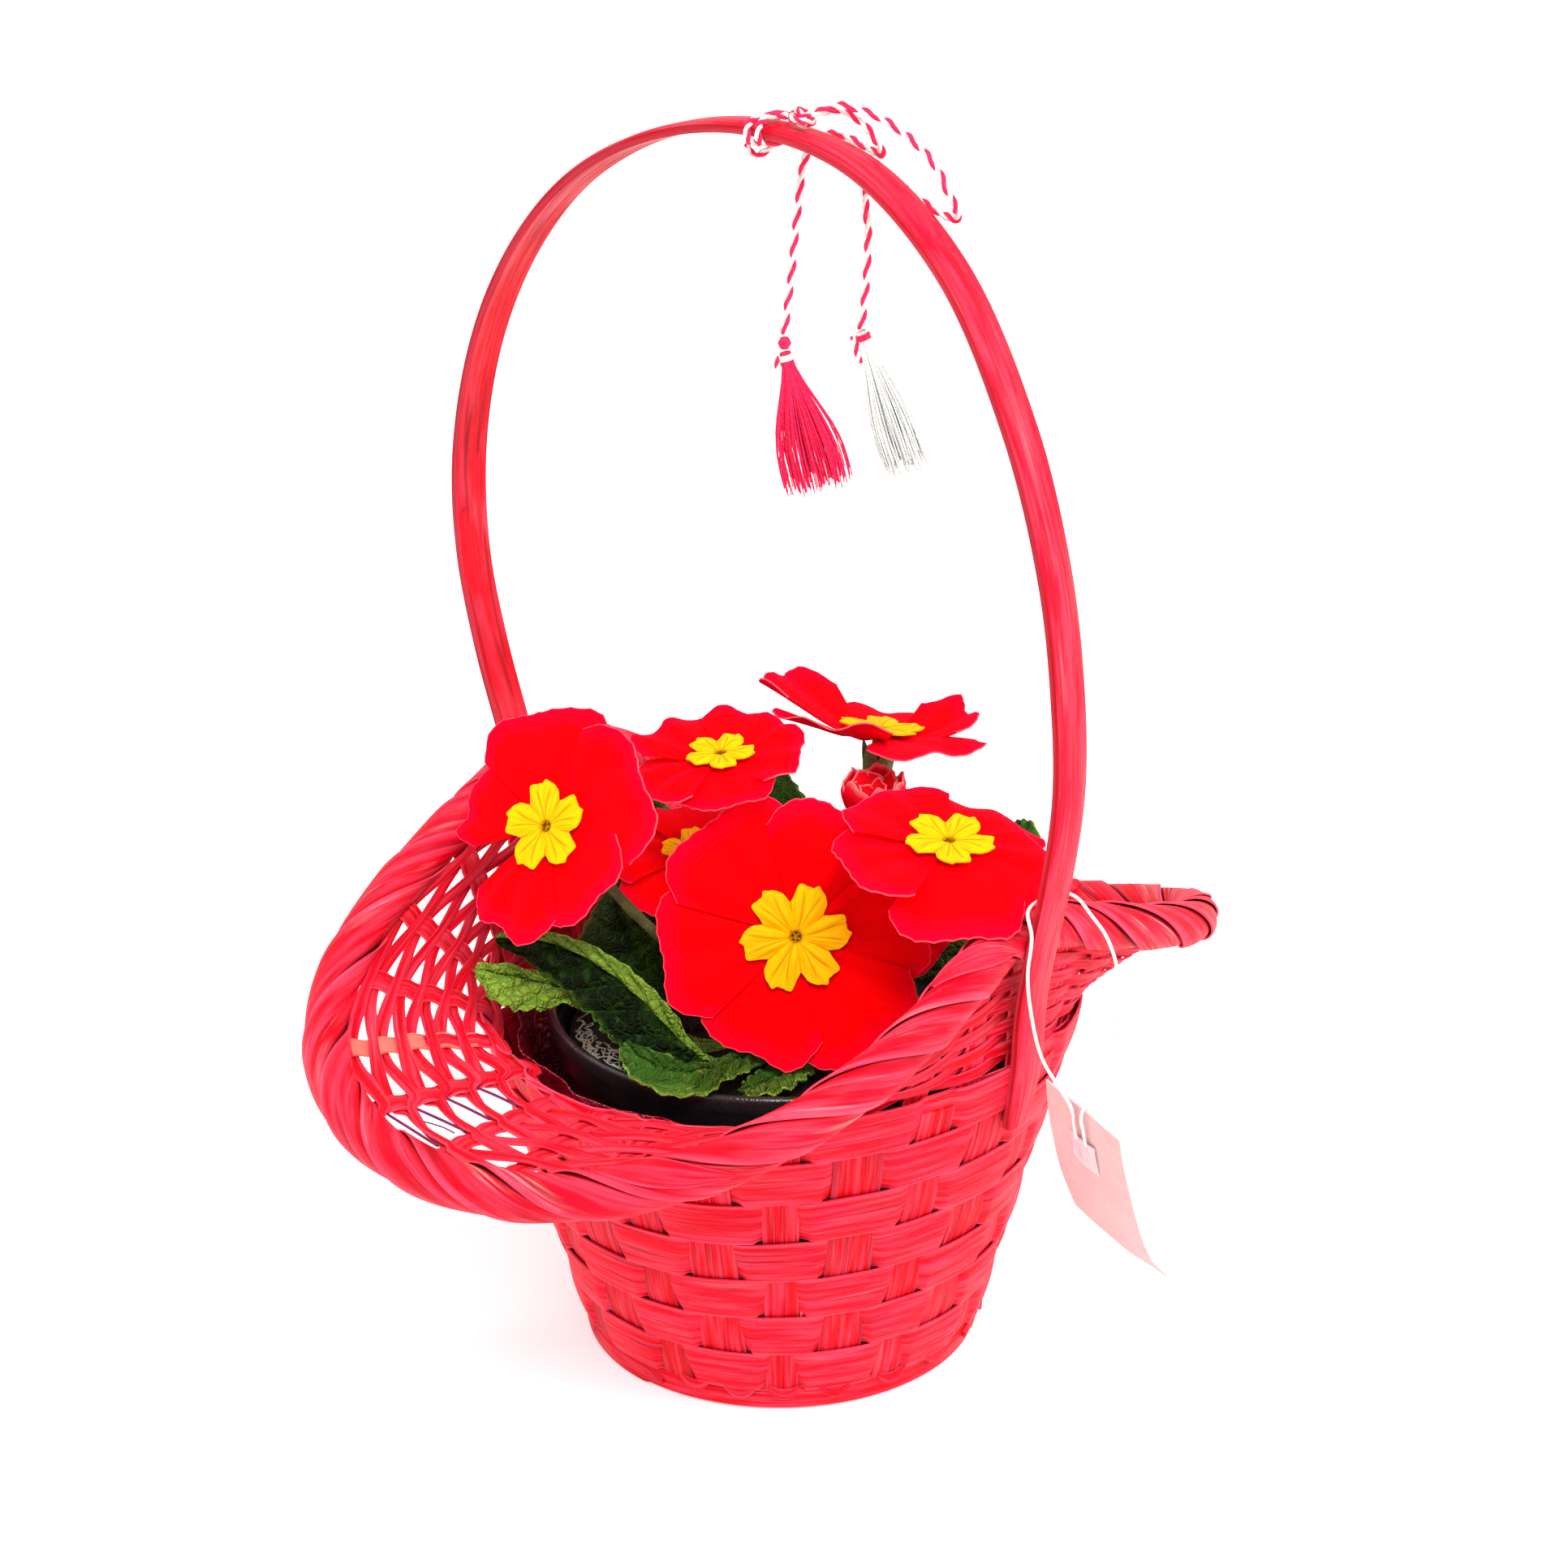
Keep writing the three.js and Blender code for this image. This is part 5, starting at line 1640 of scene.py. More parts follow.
    def torn(self, bearing: float) -> float:
        """Rises to 1 over the worn cell where the weavers lie in pairs."""
        return ramp(162.8, 164.6, bearing) * ramp(176.2, 174.4, bearing)

    def brim_seam(self, number: int, bearing: float) -> float:
        """The place, as a share from the neck to the rim, of the seam below a weaver."""
        swerve = (bearing - 167) / 6
        slant = 0.045 * swerve * math.exp(-0.45 * swerve * swerve)
        stray = 0.012 * wobble(3.2 * cosine(bearing) * 1.7, 3.2 * sine(bearing) * 1.7, number * 2.3)
        return BRIM_FIRST_SEAM + BRIM_PITCH * number + slant + stray

    def brim_gap(self, number: int, bearing: float) -> float:
        """Width of the gap at a seam: long, pointed ones either side of every second stake."""
        place = (bearing - BRIM_STAKE) / BRIM_STEP
        stake = round((place - number) / 2 - 0.5) * 2 + 1 + number
        reach = 0.56 + 0.12 * wobble(number * 1.7, stake * 2.9)
        lens = max(0.0, 1 - abs(place - stake) / reach) ** 0.8
        lens *= 2.3 + 0.9 * wobble(bearing * 0.09, number * 2.0)
        worn = 4.9 if number % 2 else -1.1
        return mix(lens * self.openness(bearing), worn, self.torn(bearing))

    def brim_swing(self, number: int, bearing: float) -> float:
        """How far a weaver is above the stakes of the brim: 1 over one, -1 under it."""
        return cosine(180 / BRIM_STEP * (bearing - BRIM_STAKE)) * (-1 if number % 2 else 1)

    def brim_weaver(self, number: int) -> Piece:
        """One narrow weaver of the brim, all the way round.

        Args:
            number: counts from the neck, and says over which stakes it passes.

        Returns:
            The weaver.
        """
        def edges(bearing: float) -> tuple[float, float]:
            """The middle, as a share, and the width between the gaps."""
            span = (brim_point(bearing, 1) - brim_point(bearing, 0)).length
            low = self.brim_seam(number, bearing) + self.brim_gap(number, bearing) / 2 / span
            high = self.brim_seam(number + 1, bearing) - self.brim_gap(number + 1, bearing) / 2 / span
            return (low + high) / 2, max(1.0, (high - low) * span)

        def line(v: float) -> tuple[Vector, Vector]:
            """Weaves the middle line over and under the stakes."""
            bearing = 360 * v
            share = edges(bearing)[0]
            normal = brim_normal(bearing, share)
            return brim_point(bearing, share) + normal * (0.8 * self.brim_swing(number, bearing)), normal

        def width(v: float) -> float:
            """The width here, with a small overlap."""
            return edges(360 * v)[1] * 1.04

        def tone(u: float, v: float) -> float:
            """Painted shade where the weaver dips under a stake, over its own uneven tone."""
            bearing = 360 * v
            # painted shade under the stakes
            dip = 0.5 * ramp(-0.35, -0.95, self.brim_swing(number, bearing))
            return 0.55 + 0.6 * wobble(5 * cosine(bearing), 5 * sine(bearing), number * 3.1) - dip

        name = f"brim_weaver_{number}"
        return strip(name, 450, 3, line, width, tone, crown=0.2, thickness=0.42, length=520.0)

    def brim_stake(self, number: int) -> Piece:
        """One stake of the brim, from the neck to the rim; one of them took no dye."""
        bearing = BRIM_STAKE + BRIM_STEP * number + (1.4 if number == 2 else 0.0)
        bare = number == 0

        def line(v: float) -> tuple[Vector, Vector]:
            """Weaves the middle line against the weavers."""
            t = mix(-0.02, 1.05, v)
            row = (t - BRIM_FIRST_ROW) / BRIM_PITCH
            swing = -0.35 * math.cos(math.pi * (row + number)) * min(1.0, max(0.0, t) * 5)
            at = bearing + 0.9 * wobble(2 * v, number * 1.7)
            normal = brim_normal(at, min(1, max(0, t)))
            return brim_point(at, t) + normal * swing, normal

        tone = self.dice.uniform(0.05, 0.5)

        def shade(u: float, v: float) -> float:
            """Even, but bare where it took no dye."""
            slit = 0.2 < v <= 0.52 and not 0.1 < u < 0.9
            return 2.0 if bare and (slit or 0.52 < v < 0.97) else tone

        def width(v: float) -> float:
            """Narrower where the weave is open."""
            return 4.9 if self.openness(bearing) > 0.3 else 5.2

        return strip(f"brim_stake_{number}", 44, 3, line, width, shade, crown=0.1, length=34.0)

    def brim_fibre(self, first: float, low: float, last: float, high: float, radius: float) -> Piece:
        """A thin loose fibre across an open cell.

        Args:
            first: the bearing where it starts.
            low: the share from the neck to the rim where it starts.
            last: the bearing where it ends.
            high: the share where it ends.
            radius: in millimetres.

        Returns:
            The fibre.
        """
        route = []
        for t in shares(8):
            at, share = mix(first, last, t), mix(low, high, t) - 0.02 * math.sin(math.pi * t)
            route.append(brim_point(at, share) + brim_normal(at, share) * 0.2)
        name = f"fibre_{round(first * 10)}_{round(low * 100)}"
        return paint(tube(name, route, radius, sides=5, tone=0.4), self.finishes.fibre)

    def rim_strip(self, number: int) -> Piece:
        """One of the broad strips that wind round the rim, each with one edge over the next."""
        rows, margin = 720, 60
        lead = RIM_LENGTH / self.rim_turns
        girth = 2 * math.pi * (RIM_RADIUS - 0.1)
        slant = math.atan2(girth, lead)
        width = girth * math.cos(slant) / self.rim_strips + 3.0
        centres = []
        for i in range(-margin, rows + margin + 1):
            bearing = 360 * i / rows
            centres.append((rim_point(bearing), *rim_frame(bearing)))

        def place(u: float, v: float) -> Vector:
            """A point of the strip on its way round the rim."""
            spread = 1 + 0.12 * wobble(v * 41, number * 3.0)
            a = (u - 0.5) * width * spread
            along = -a * math.sin(slant) / (RIM_LENGTH / rows)
            around = math.degrees(a * math.cos(slant) / RIM_RADIUS)
            spot = v * rows + along + margin
            low = min(len(centres) - 2, max(0, math.floor(spot)))
            pairs = zip(centres[low], centres[low + 1])
            middle, inward, lift = (near.lerp(far, spot - low) for near, far in pairs)
            stray = 14 * wobble(3 * cosine(360 * v), 3 * sine(360 * v))
            angle = 360 * (self.rim_turns * v + number / self.rim_strips) + around + stray
            radius = RIM_RADIUS - 0.8 + 1.25 * u ** 1.2 + 0.2 * math.sin(math.pi * u)
            radius += 0.22 * wobble(v * 60, u * 1.5, number * 5.0)
            return swung(middle, inward, lift, radius, angle)

        def tone(u: float, v: float) -> float:
            """Painted shadow along the edge that lies under the next strip, over the strip's own uneven tone.
            """
            # painted shadow cast by the next strip's raised edge
            crease = ramp(0.37, 0.26, u) * 1.6
            return 0.75 + 0.5 * wobble(v * 40 + 7 * number, 0.4 * u) - crease

        name = f"rim_strip_{number}"
        uv, across = (width, 660.0), 12
        # the edge attribute rises to the raised edge, which the material paints with a highlight
        band = sheet(name, across, rows, place, uv, tone, edge=lambda u, v: u, uv_start=41.0 * number)
        return thicken(band, 0.42)

    def rim_tip(self, bearing: float, turn_at: float, reach: float, tone: float) -> Piece:
        """A loose strip end that lies along the rim."""
        def line(v: float) -> tuple[Vector, Vector]:
            """Lies on the rim and turns with the strips."""
            at = bearing + reach * v
            inward, lift = rim_frame(at)
            angle = turn_at + 120 * v
            out = inward * cosine(angle) + lift * sine(angle)
            return rim_point(at) + out * (RIM_RADIUS + 0.15 + 0.25 * v), out

        def width(v: float) -> float:
            """Tapers to its tip."""
            return 6.0 * math.sin(math.pi * mix(0.18, 0.97, v))

        name = f"tip_{round(bearing)}"
        return strip(name, 26, 4, line, width, tone, crown=0.25, thickness=0.35, length=24.0)

    def spike(
        self, at: float, first: tuple[float, float], last: tuple[float, float], radius: float, tone: float
    ) -> Piece:
        """A stiff loose fibre that stands off the rim.

        Args:
            at: the bearing of the rim that it starts from.
            first: where it starts, as millimetres out from and above the rim's middle line.
            last: the same for its end, some way round.
            radius: its radius.
            tone: how dark it is.

        Returns:
            The fibre.
        """
        route = []
        for t in shares(8):
            bearing = at + 16 * t * (1 if radius < 0.3 else 0.1)
            out = polar(1, bearing, 0)
            reach, lift = mix(first[0], last[0], t), mix(first[1], last[1], t) - math.sin(math.pi * t)
            route.append(rim_point(bearing) + out * reach + Vector((0, 0, lift)))

        def thickness(t: float) -> float:
            """Thinner towards its end."""
            return radius * (1 - 0.6 * t * t)

        return tube(f"spike_{round(at)}", route, thickness, sides=6, tone=tone)

    def handle(self) -> Piece:
        """The slat bent into a hoop, crowned outside, with its foot pushed between the weavers."""
        line = Line(through([Vector((STRAP_LEAN * (z - STRAP_LEAN_FROM), y, z)) for y, z in self.hoop], 20))
        steps = 260
        half, thick = STRAP_WIDTH / 2, STRAP_THICKNESS / 2
        corners = (
            (-1, -0.7), (-0.93, -1), (0, -0.96), (0.93, -1), (1, -0.7), (1, 0.35),
            (0.9, 0.72), (0.45, 0.98), (0, 1), (-0.45, 0.98), (-0.9, 0.72), (-1, 0.35),
        )
        outline = [(half * w, thick * h) for w, h in corners]
        frames = []
        for t in shares(steps):
            point, direction = line.at(t), line.tangent(t)
            out = Vector((1, 0, 0)).cross(direction).normalized()
            if out.dot(point - Vector((0, 0, 150))) < 0:
                out.negate()
            side = direction.cross(out).normalized()
            foot = min(1.0, 0.7 + 12 * min(t, 1 - t)) * (1 + 0.03 * wobble(t * 14, 2.0))
            frames.append((point, side, out, foot))

        def place(u: float, v: float) -> Vector:
            """A corner of the outline at a row, closed to a point at both ends."""
            row = round(v * (steps + 2)) - 1
            point, side, out, foot = frames[min(steps, max(0, row))]
            w, h = outline[round(u * 12) % 12]
            if not 0 <= row <= steps:
                return point
            grain = 0.05 * wobble(v * 30, w)
            return point + side * (w * foot) + out * (h + grain)

        def tone(u: float, v: float) -> float:
            """Painted light and shade: the narrow sides darkest, the inner face deeper and the outer face
            light, with some uneven tone.
            """
            corner = round(u * 12) % 12
            if corner in (0, 4, 5, 11):
                return -0.42 + 0.1 * wobble(9 * v, 1.0)
            return (-0.1 if corner < 4 else 1.0) + 0.25 * wobble(9 * v, 1.0)

        slat = sheet("handle_slat", 12, steps + 2, place, (22.6, line.length), tone)
        return soften(weld(slat, outward=True), 38)

    def build(self) -> None:
        """Makes the bucket, the brim, the rim and the handle."""
        bucket = [self.weaver(row) for row in range(WEAVE_ROWS)]
        bucket += [self.stake(number) for number in range(STAKES)]
        bucket += [self.sliver(*ends) for ends in SLIVERS]
        bucket += self.foot()
        whole = soften(join("basket_bucket_weave", bucket))
        dress(whole, "dyed_bamboo", (self.finishes.bamboo,), "basket_bucket")

        brim = [self.brim_stake(number) for number in range(BRIM_STAKES)]
        brim += [self.brim_weaver(number) for number in BRIM_WEAVERS]
        brim = [paint(piece, self.finishes.bamboo) for piece in brim]
        brim += [self.brim_fibre(*ends) for ends in BRIM_FIBRES]
        dress(soften(join("basket_brim_weave", brim)), "dyed_bamboo", (), "basket_brim")

        rim = [self.rim_strip(number) for number in range(self.rim_strips)]
        rim += [self.rim_tip(*ends) for ends in RIM_TIPS]
        core = tube("rim_core", [rim_point(3 * k) for k in range(121)], RIM_RADIUS - 0.8, sides=10, tone=0.0)
        spikes = [self.spike(*ends) for ends in SPIKES]
        whole = soften(join("rim_binding_wound", [*rim, core, *spikes]))
        dress(whole, "dyed_bamboo", (self.finishes.wound,), "rim_binding")
        dress(self.handle(), "dyed_slat", (self.finishes.slat,), "handle")


# ---------------------------------------------------------------- pot, liner and soil


@dataclass
class PotAndSoil:
    """The nursery pot, the film that lines the basket, the peat and the plant's crown."""

    finishes: Finishes
    seed: int = 5

    def pot(self) -> None:
        """Turns the pot with its stepped, rounded lip."""
        wall = POT_RIM_RADIUS - 3
        inner = POT_BASE_RADIUS - POT_WALL
        foot = [(0, 0.0), (POT_BASE_RADIUS - 1.2, 0.0), (POT_BASE_RADIUS, 1.0)]
        step = [
            (wall - 0.2, -0.8), (wall + 0.3, 0.0), (POT_RIM_RADIUS - 1.1, 0.3), (POT_RIM_RADIUS - 0.7, 0.9),
            (POT_RIM_RADIUS - 0.6, 4.2), (POT_RIM_RADIUS - 0.2, 4.9), (POT_RIM_RADIUS, 5.6),
        ]
        lip = [(0.0, 0.9), (0.3, 0.2), (0.9, 0.0), (1.7, 0.3), (2.1, 1.4), (3.0, 2.6), (3.3, 4.2)]
        profile = [(r, POT_BASE + z) for r, z in foot]
        profile += [(r, POT_SHOULDER + z) for r, z in step]
        profile += [(POT_RIM_RADIUS - r, POT_RIM_TOP - z) for r, z in lip]
        profile += [
            (wall - POT_WALL + 0.3, POT_SHOULDER + 1.0), (wall - POT_WALL, POT_SHOULDER - 1.0),
            (inner, POT_BASE + POT_WALL), (0, POT_BASE + POT_WALL),
        ]
        pot = soften(turned("nursery_pot_turned", profile, 128), 50)
        dress(pot, "pot", (self.finishes.pot,), "nursery_pot")

    def soil(self) -> None:
        """Heaps the peat, with crumbs and pale roots on it."""
        dice = random.Random(self.seed)
        low, edge = POT_BASE + POT_WALL + 0.3, 68.6

        def inner(z: float) -> float:
            """Radius just inside the pot at a height."""
            share = (z - POT_BASE) / (POT_SHOULDER - POT_BASE)
            return mix(POT_BASE_RADIUS, POT_RIM_RADIUS - 3, share) - POT_WALL - 0.55

        def height(x: float, y: float) -> float:
            """Height of the heaped peat."""
            rough = 0.9 * wobble(x * 0.16, y * 0.16, 7) + 0.55 * wobble(x * 0.45, y * 0.45, 3)
            return SOIL_TOP - 0.9 + rough * 0.7 - 1.6 * ramp(38, 45, math.hypot(x, y))

        def place(u: float, v: float) -> Vector:
            """Up the pot wall first, then in over the top."""
            if v < 0.5:
                t = v * 2
                z = mix(low, edge, t)
                return polar(inner(z) if v > 0 else 0.0, 360 * u, z)
            radius = mix(inner(edge), 0.0, (v - 0.5) * 2)
            spot = polar(radius, 360 * u, 0)
            spot.z = mix(edge, height(spot.x, spot.y), ramp(inner(edge), inner(edge) - 2.5, radius))
            return spot

        bed = weld(sheet("peat_bed", 120, 60, place, (280, 120), tone=0.4), outward=True)
        bits = [paint(bed, self.finishes.peat)]
        for k in range(150):
            bearing, radius = dice.uniform(0, 360), 44.5 * math.sqrt(dice.uniform(0.08, 1.0))
            spot = polar(radius, bearing, 0)
            size = dice.uniform(0.5, 1.5)
            centre = Vector((spot.x, spot.y, height(spot.x, spot.y) + 0.3)) * MM
            deselect()
            bpy.ops.mesh.primitive_ico_sphere_add(subdivisions=2, radius=size * MM, location=centre)
            crumb = bpy.context.object
            bpy.ops.object.transform_apply(location=True, rotation=False, scale=False)
            for vertex in crumb.data.vertices:
                way = vertex.co - centre
                vertex.co = centre + way * (0.85 + 0.4 * wobble(vertex.co.x * 2100, vertex.co.y * 2100, k))
            bits.append(paint(crumb, self.finishes.peat))
        for k in range(46):
            bearing = dice.gauss(154, 20)
            radius = dice.uniform(32, 45.8)
            length = dice.uniform(5, 19)
            route = []
            for t in shares(8):
                at = bearing + math.degrees(length * (t - 0.5) / radius)
                reach = min(45.6, radius + dice.uniform(-1.2, 1.2))
                spot = polar(reach, at, 0)
                spot.z = height(spot.x, spot.y) + 0.5 + 0.8 * dice.random()
                route.append(spot)
            thick = dice.uniform(0.08, 0.2)
            root = tube(f"root_{k}", through(route, 3), thick, sides=5, tone=dice.random())
            bits.append(paint(root, self.finishes.root))
        dress(soften(join("soil_peat", bits), 60), "peat", (), "soil")

    def crown(self) -> None:
        """Makes the knobbly rootstock that the leaves grow from."""
        low = SOIL_TOP - 4.7

        def place(u: float, v: float) -> Vector:
            """Up the sides first, then over the knobbly dome."""
            bearing = 360 * u
            if v < 0.25:
                return polar(CROWN_RADIUS * min(1.0, v * 40), bearing, mix(low, SOIL_TOP - 1, v * 4))
            angle = 90 * (v - 0.25) / 0.75
            knob = 1 + 0.05 * cosine(7 * bearing) * cosine(angle)
            knob += 0.04 * wobble(bearing * 0.09, angle * 0.08)
            radius = CROWN_RADIUS * cosine(angle) * min(1.0, knob)
            height = CROWN_HEIGHT * sine(angle) * mix(0.93, 1.0, knob - 0.9)
            return polar(radius, bearing, SOIL_TOP - 1 + height)

        body = weld(sheet("crown_rootstock", 56, 28, place, (70, 24)), outward=True)
        dress(soften(body, 60), "rootstock", (self.finishes.crown,), "crown")

    def liner(self) -> None:
        """Makes the crumpled film between the pot and the basket."""
        levels = ((BUCKET_FLOOR + 0.3, 0.0, 0.0), (40.0, 1.3, 1.0), (70.5, 2.1, 1.7), (75.0, 2.2, 1.5))

        def at(z: float) -> tuple[float, float]:
            """How far the film is off the basket, and how deep its folds are, at a height."""
            for (z0, r0, f0), (z1, r1, f1) in zip(levels, levels[1:]):
                if z <= z1:
                    t = (z - z0) / (z1 - z0)
                    return mix(r0, r1, t), mix(f0, f1, t)
            return levels[-1][1], levels[-1][2]

        def place(u: float, v: float) -> Vector:
            """Out over the floor first, then up the folded wall."""
            bearing = 360 * u
            if v < 0.08:
                return polar((bucket_radius(3.3) - 3.6) * v / 0.08, bearing, 3.4)
            top = 72.6 + 1.5 * wobble(3 * cosine(bearing), 3 * sine(bearing), 6)
            z = mix(3.4, top, (v - 0.08) / 0.92)
            reach, fold = at(z)
            crease = abs(wobble(9 * cosine(bearing), 9 * sine(bearing), z * 0.09)) - 0.25
            radius = bucket_radius(z) - 3.6 - reach + fold * (cosine(12 * bearing) * 0.6 + crease * 1.1)
            return polar(min(radius, bucket_radius(z) - 3.0), bearing, z)

        film = weld(sheet("liner_crumpled", 168, 54, place, (360, 120)))
        dress(soften(thicken(film, 0.25), 60), "film", (self.finishes.film,), "liner_film")

    def build(self) -> None:
        """Makes the four pieces."""
        self.liner()
        self.pot()
        self.soil()
        self.crown()


# ---------------------------------------------------------------- leaves


def crown_seat(bearing: float, elevation: float, clear: float = 0.4) -> tuple[Vector, Vector]:
    """A point just off the crown's dome, and the way straight out of it."""
    c, s = cosine(elevation), sine(elevation)
    out = polar(c / CROWN_RADIUS, bearing, s / CROWN_HEIGHT).normalized()
    return polar(CROWN_RADIUS * c, bearing, SOIL_TOP - 1 + CROWN_HEIGHT * s) + out * clear, out


@dataclass
class Leaf:
    """A primrose leaf: a winged stalk that widens into a puckered blade with a scalloped edge."""

    number: int
    bearing: float
    rise: float
    shoulder: tuple[float, float, float]
    tip: tuple[float, float, float]
    width: float
    elbow: Optional[tuple[float, float, float]] = None
    far: float = 1.0
    starts: float = 0.14
    widest: float = 0.62
    fold: float = -0.18
    roll: float = 0.0
    ribs: int = 9
    teeth: int = 22
    # painted light and shade of the blade's two halves, the far half first: 0 darkest, 1 sunlit
    painted_light: tuple[float, float] = (0.45, 0.45)

    def half_width(self, t: float) -> float:
        """Half the leaf's width at a share of its length."""
        wing = 1.6 + 1.7 * math.sin(math.pi * t)
        if t < self.widest:
            grown = max(0.0, (t - self.starts) / (self.widest - self.starts))
        else:
            grown = 1 + (t - self.widest) / (1.02 - self.widest)
        blade = math.sin(math.pi / 2 * grown)
        return max(wing * (1 - t ** 6), self.width / 2 * max(0.0, blade) ** 0.8) + 0.5

    def build(self, finishes: Finishes) -> None:
        """Makes the leaf."""
        base, out = crown_seat(self.bearing, self.rise)
        lift = Vector(self.elbow) if self.elbow else base + out * 7
        tip = Vector(self.tip)
        spine = Line(bezier(base, lift, Vector(self.shoulder), tip))
        straight = Vector((0, 0, 1)).cross(tip - base).normalized()
        rows, columns = 84, 28
        frames = []
        for t in shares(rows):
            direction = spine.tangent(min(0.995, max(0.005, t)))
            flat = Vector((-direction.y, direction.x, 0)).normalized() if self.elbow else straight
            side = turn(flat, direction, self.roll * min(1.0, 2 * t))
            side = (side - direction * side.dot(direction)).normalized()
            frames.append((spine.at(t), side, direction.cross(side).normalized()))

        def swell(u: float, t: float) -> float:
            """How far between veins a point is: 0 on one, 1 mid-cell."""
            a = abs(u)
            fan = (self.ribs * (t - 0.10) / 0.9 - 1.5 * a) % 1.0
            between = math.sin(math.pi * fan) ** 0.6
            midrib = ramp(0.02, 0.16, a)
            return between * midrib * ramp(0.16, 0.34, t)

        def place(x: float, t: float) -> Vector:
            """A point of the blade, with its bulges, folds and teeth."""
            u = 2 * x - 1
            spot, side, up = frames[round(t * rows)]
            teeth = 2 * math.pi * self.teeth
            tooth = 0.05 * math.cos(teeth * t + self.number) * ramp(0.72, 1.0, abs(u)) * ramp(0.3, 0.45, t)
            curl = 1 + 0.05 * wobble(t * 5, self.number * 2.0, u)
            reach = self.half_width(t) * (1 + tooth) * curl * (self.far if u < 0 else 1.0)
            bulge = swell(u, t)
            height = self.fold * reach * u * u * ramp(0.12, 0.28, t)
            height += 1.3 * (bulge - 0.5) * ramp(0.2, 0.45, t) * (1 - 0.45 * abs(u))
            height += 0.4 * wobble(t * 34, u * 7, self.number) * ramp(0.3, 0.6, t)
            height -= 0.55 * (1 - ramp(0.0, 0.14, abs(u)))
            height += 0.8 * wobble(t * 6, u * 1.6, self.number * 3.0) * ramp(0.3, 0.7, t)
            frill = 0.45 * math.cos(teeth / 2.2 * t + self.number)
            height += frill * ramp(0.6, 1.0, abs(u)) * ramp(0.3, 0.5, t)
            return spot + side * (u * reach) + up * height

        def shade(x: float, t: float) -> float:
            """The swell as the tone, fading out along the stalk."""
            u = 2 * x - 1
            stalk = ramp(0.34, 0.16, t) * 0.9
            return max(0.0, swell(u, t) - stalk) if t < 0.34 else swell(u, t)

        def painted_light(x: float, t: float) -> float:
            """Painted light and shade, from one half to the other, with a painted highlight along the margins
            and some uneven tone.
            """
            near = ramp(0.46, 0.54, x)
            # painted highlight along the margins
            margin = 0.55 * ramp(0.88, 1.0, abs(2 * x - 1)) * ramp(0.3, 0.5, t)
            return mix(*self.painted_light, near) + 0.16 * wobble(7 * x, 9 * t, self.number) + margin

        blade = sheet(f"leaf_{self.number}_blade", columns, rows, place, tone=shade, edge=painted_light)
        paint(blade, finishes.leaf_under, finishes.leaf_top)
        blade = soften(thicken(blade, 0.42, offset=-0.5, under=True), 70)
        dress(blade, "leaf", (), f"leaf_{self.number}")


def leaves() -> list[Leaf]:
    """The plant's twelve leaves, round it from the left.

    Each has its number, its bearing and rise from the crown, its shoulder, its tip and its width.
    """
    # Where a leaf ends with a pair, it is its painted light and shade, far half first.
    return [
        Leaf(1, 182, 16, (-20, 15, 79.5), (-56.5, 34.5, 92.5), 14, elbow=(-40, -5.5, 75), far=0.3,
             starts=0.64, widest=0.86, roll=-44, painted_light=(1.0, 1.0)),
        Leaf(2, 206, 18, (-31.5, 4.5, 101), (-46, 38.5, 95), 20, elbow=(-52, -19.5, 68), far=0.35,
             starts=0.37, widest=0.5, fold=0.0, roll=-70, painted_light=(0.85, 0.0)),
        Leaf(3, 142, 50, (-28, 19, 81), (-21, 27, 104), 31, elbow=(-12, 9, 80), far=0.66,
             starts=0.3, widest=0.6, roll=-71, painted_light=(0.34, 0.14)),
        Leaf(4, 228, 14, (-54.5, -21, 79.5), (-49, -1, 83.5), 12, elbow=(-38, -19, 81), far=0.7,
             starts=0.56, widest=0.74, roll=-15, painted_light=(0.34, 0.5)),
        Leaf(5, 260, 20, (-22, -24, 74.5), (-38.5, -23, 75.2), 9, elbow=(-8, -20, 74),
             starts=0.35, widest=0.7, painted_light=(0.4, 0.62)),
        Leaf(6, 288, 14, (8, -36, 84), (8, -51, 89), 24),
        Leaf(7, 316, 14, (36, -28, 98), (57, -22, 104), 28),
        Leaf(8, 346, 36, (26, -5, 98), (46, -8, 109), 22),
        Leaf(9, 15, 12, (40, 12, 88), (62, 16, 84), 28),
        Leaf(10, 48, 30, (22, 24, 100), (30, 30, 115), 24),
        Leaf(11, 80, 14, (14, 34, 92), (16, 51, 101), 26),
        Leaf(12, 112, 40, (0, 35, 100), (-4.5, 42, 122), 22),
    ]


# ---------------------------------------------------------------- flowers


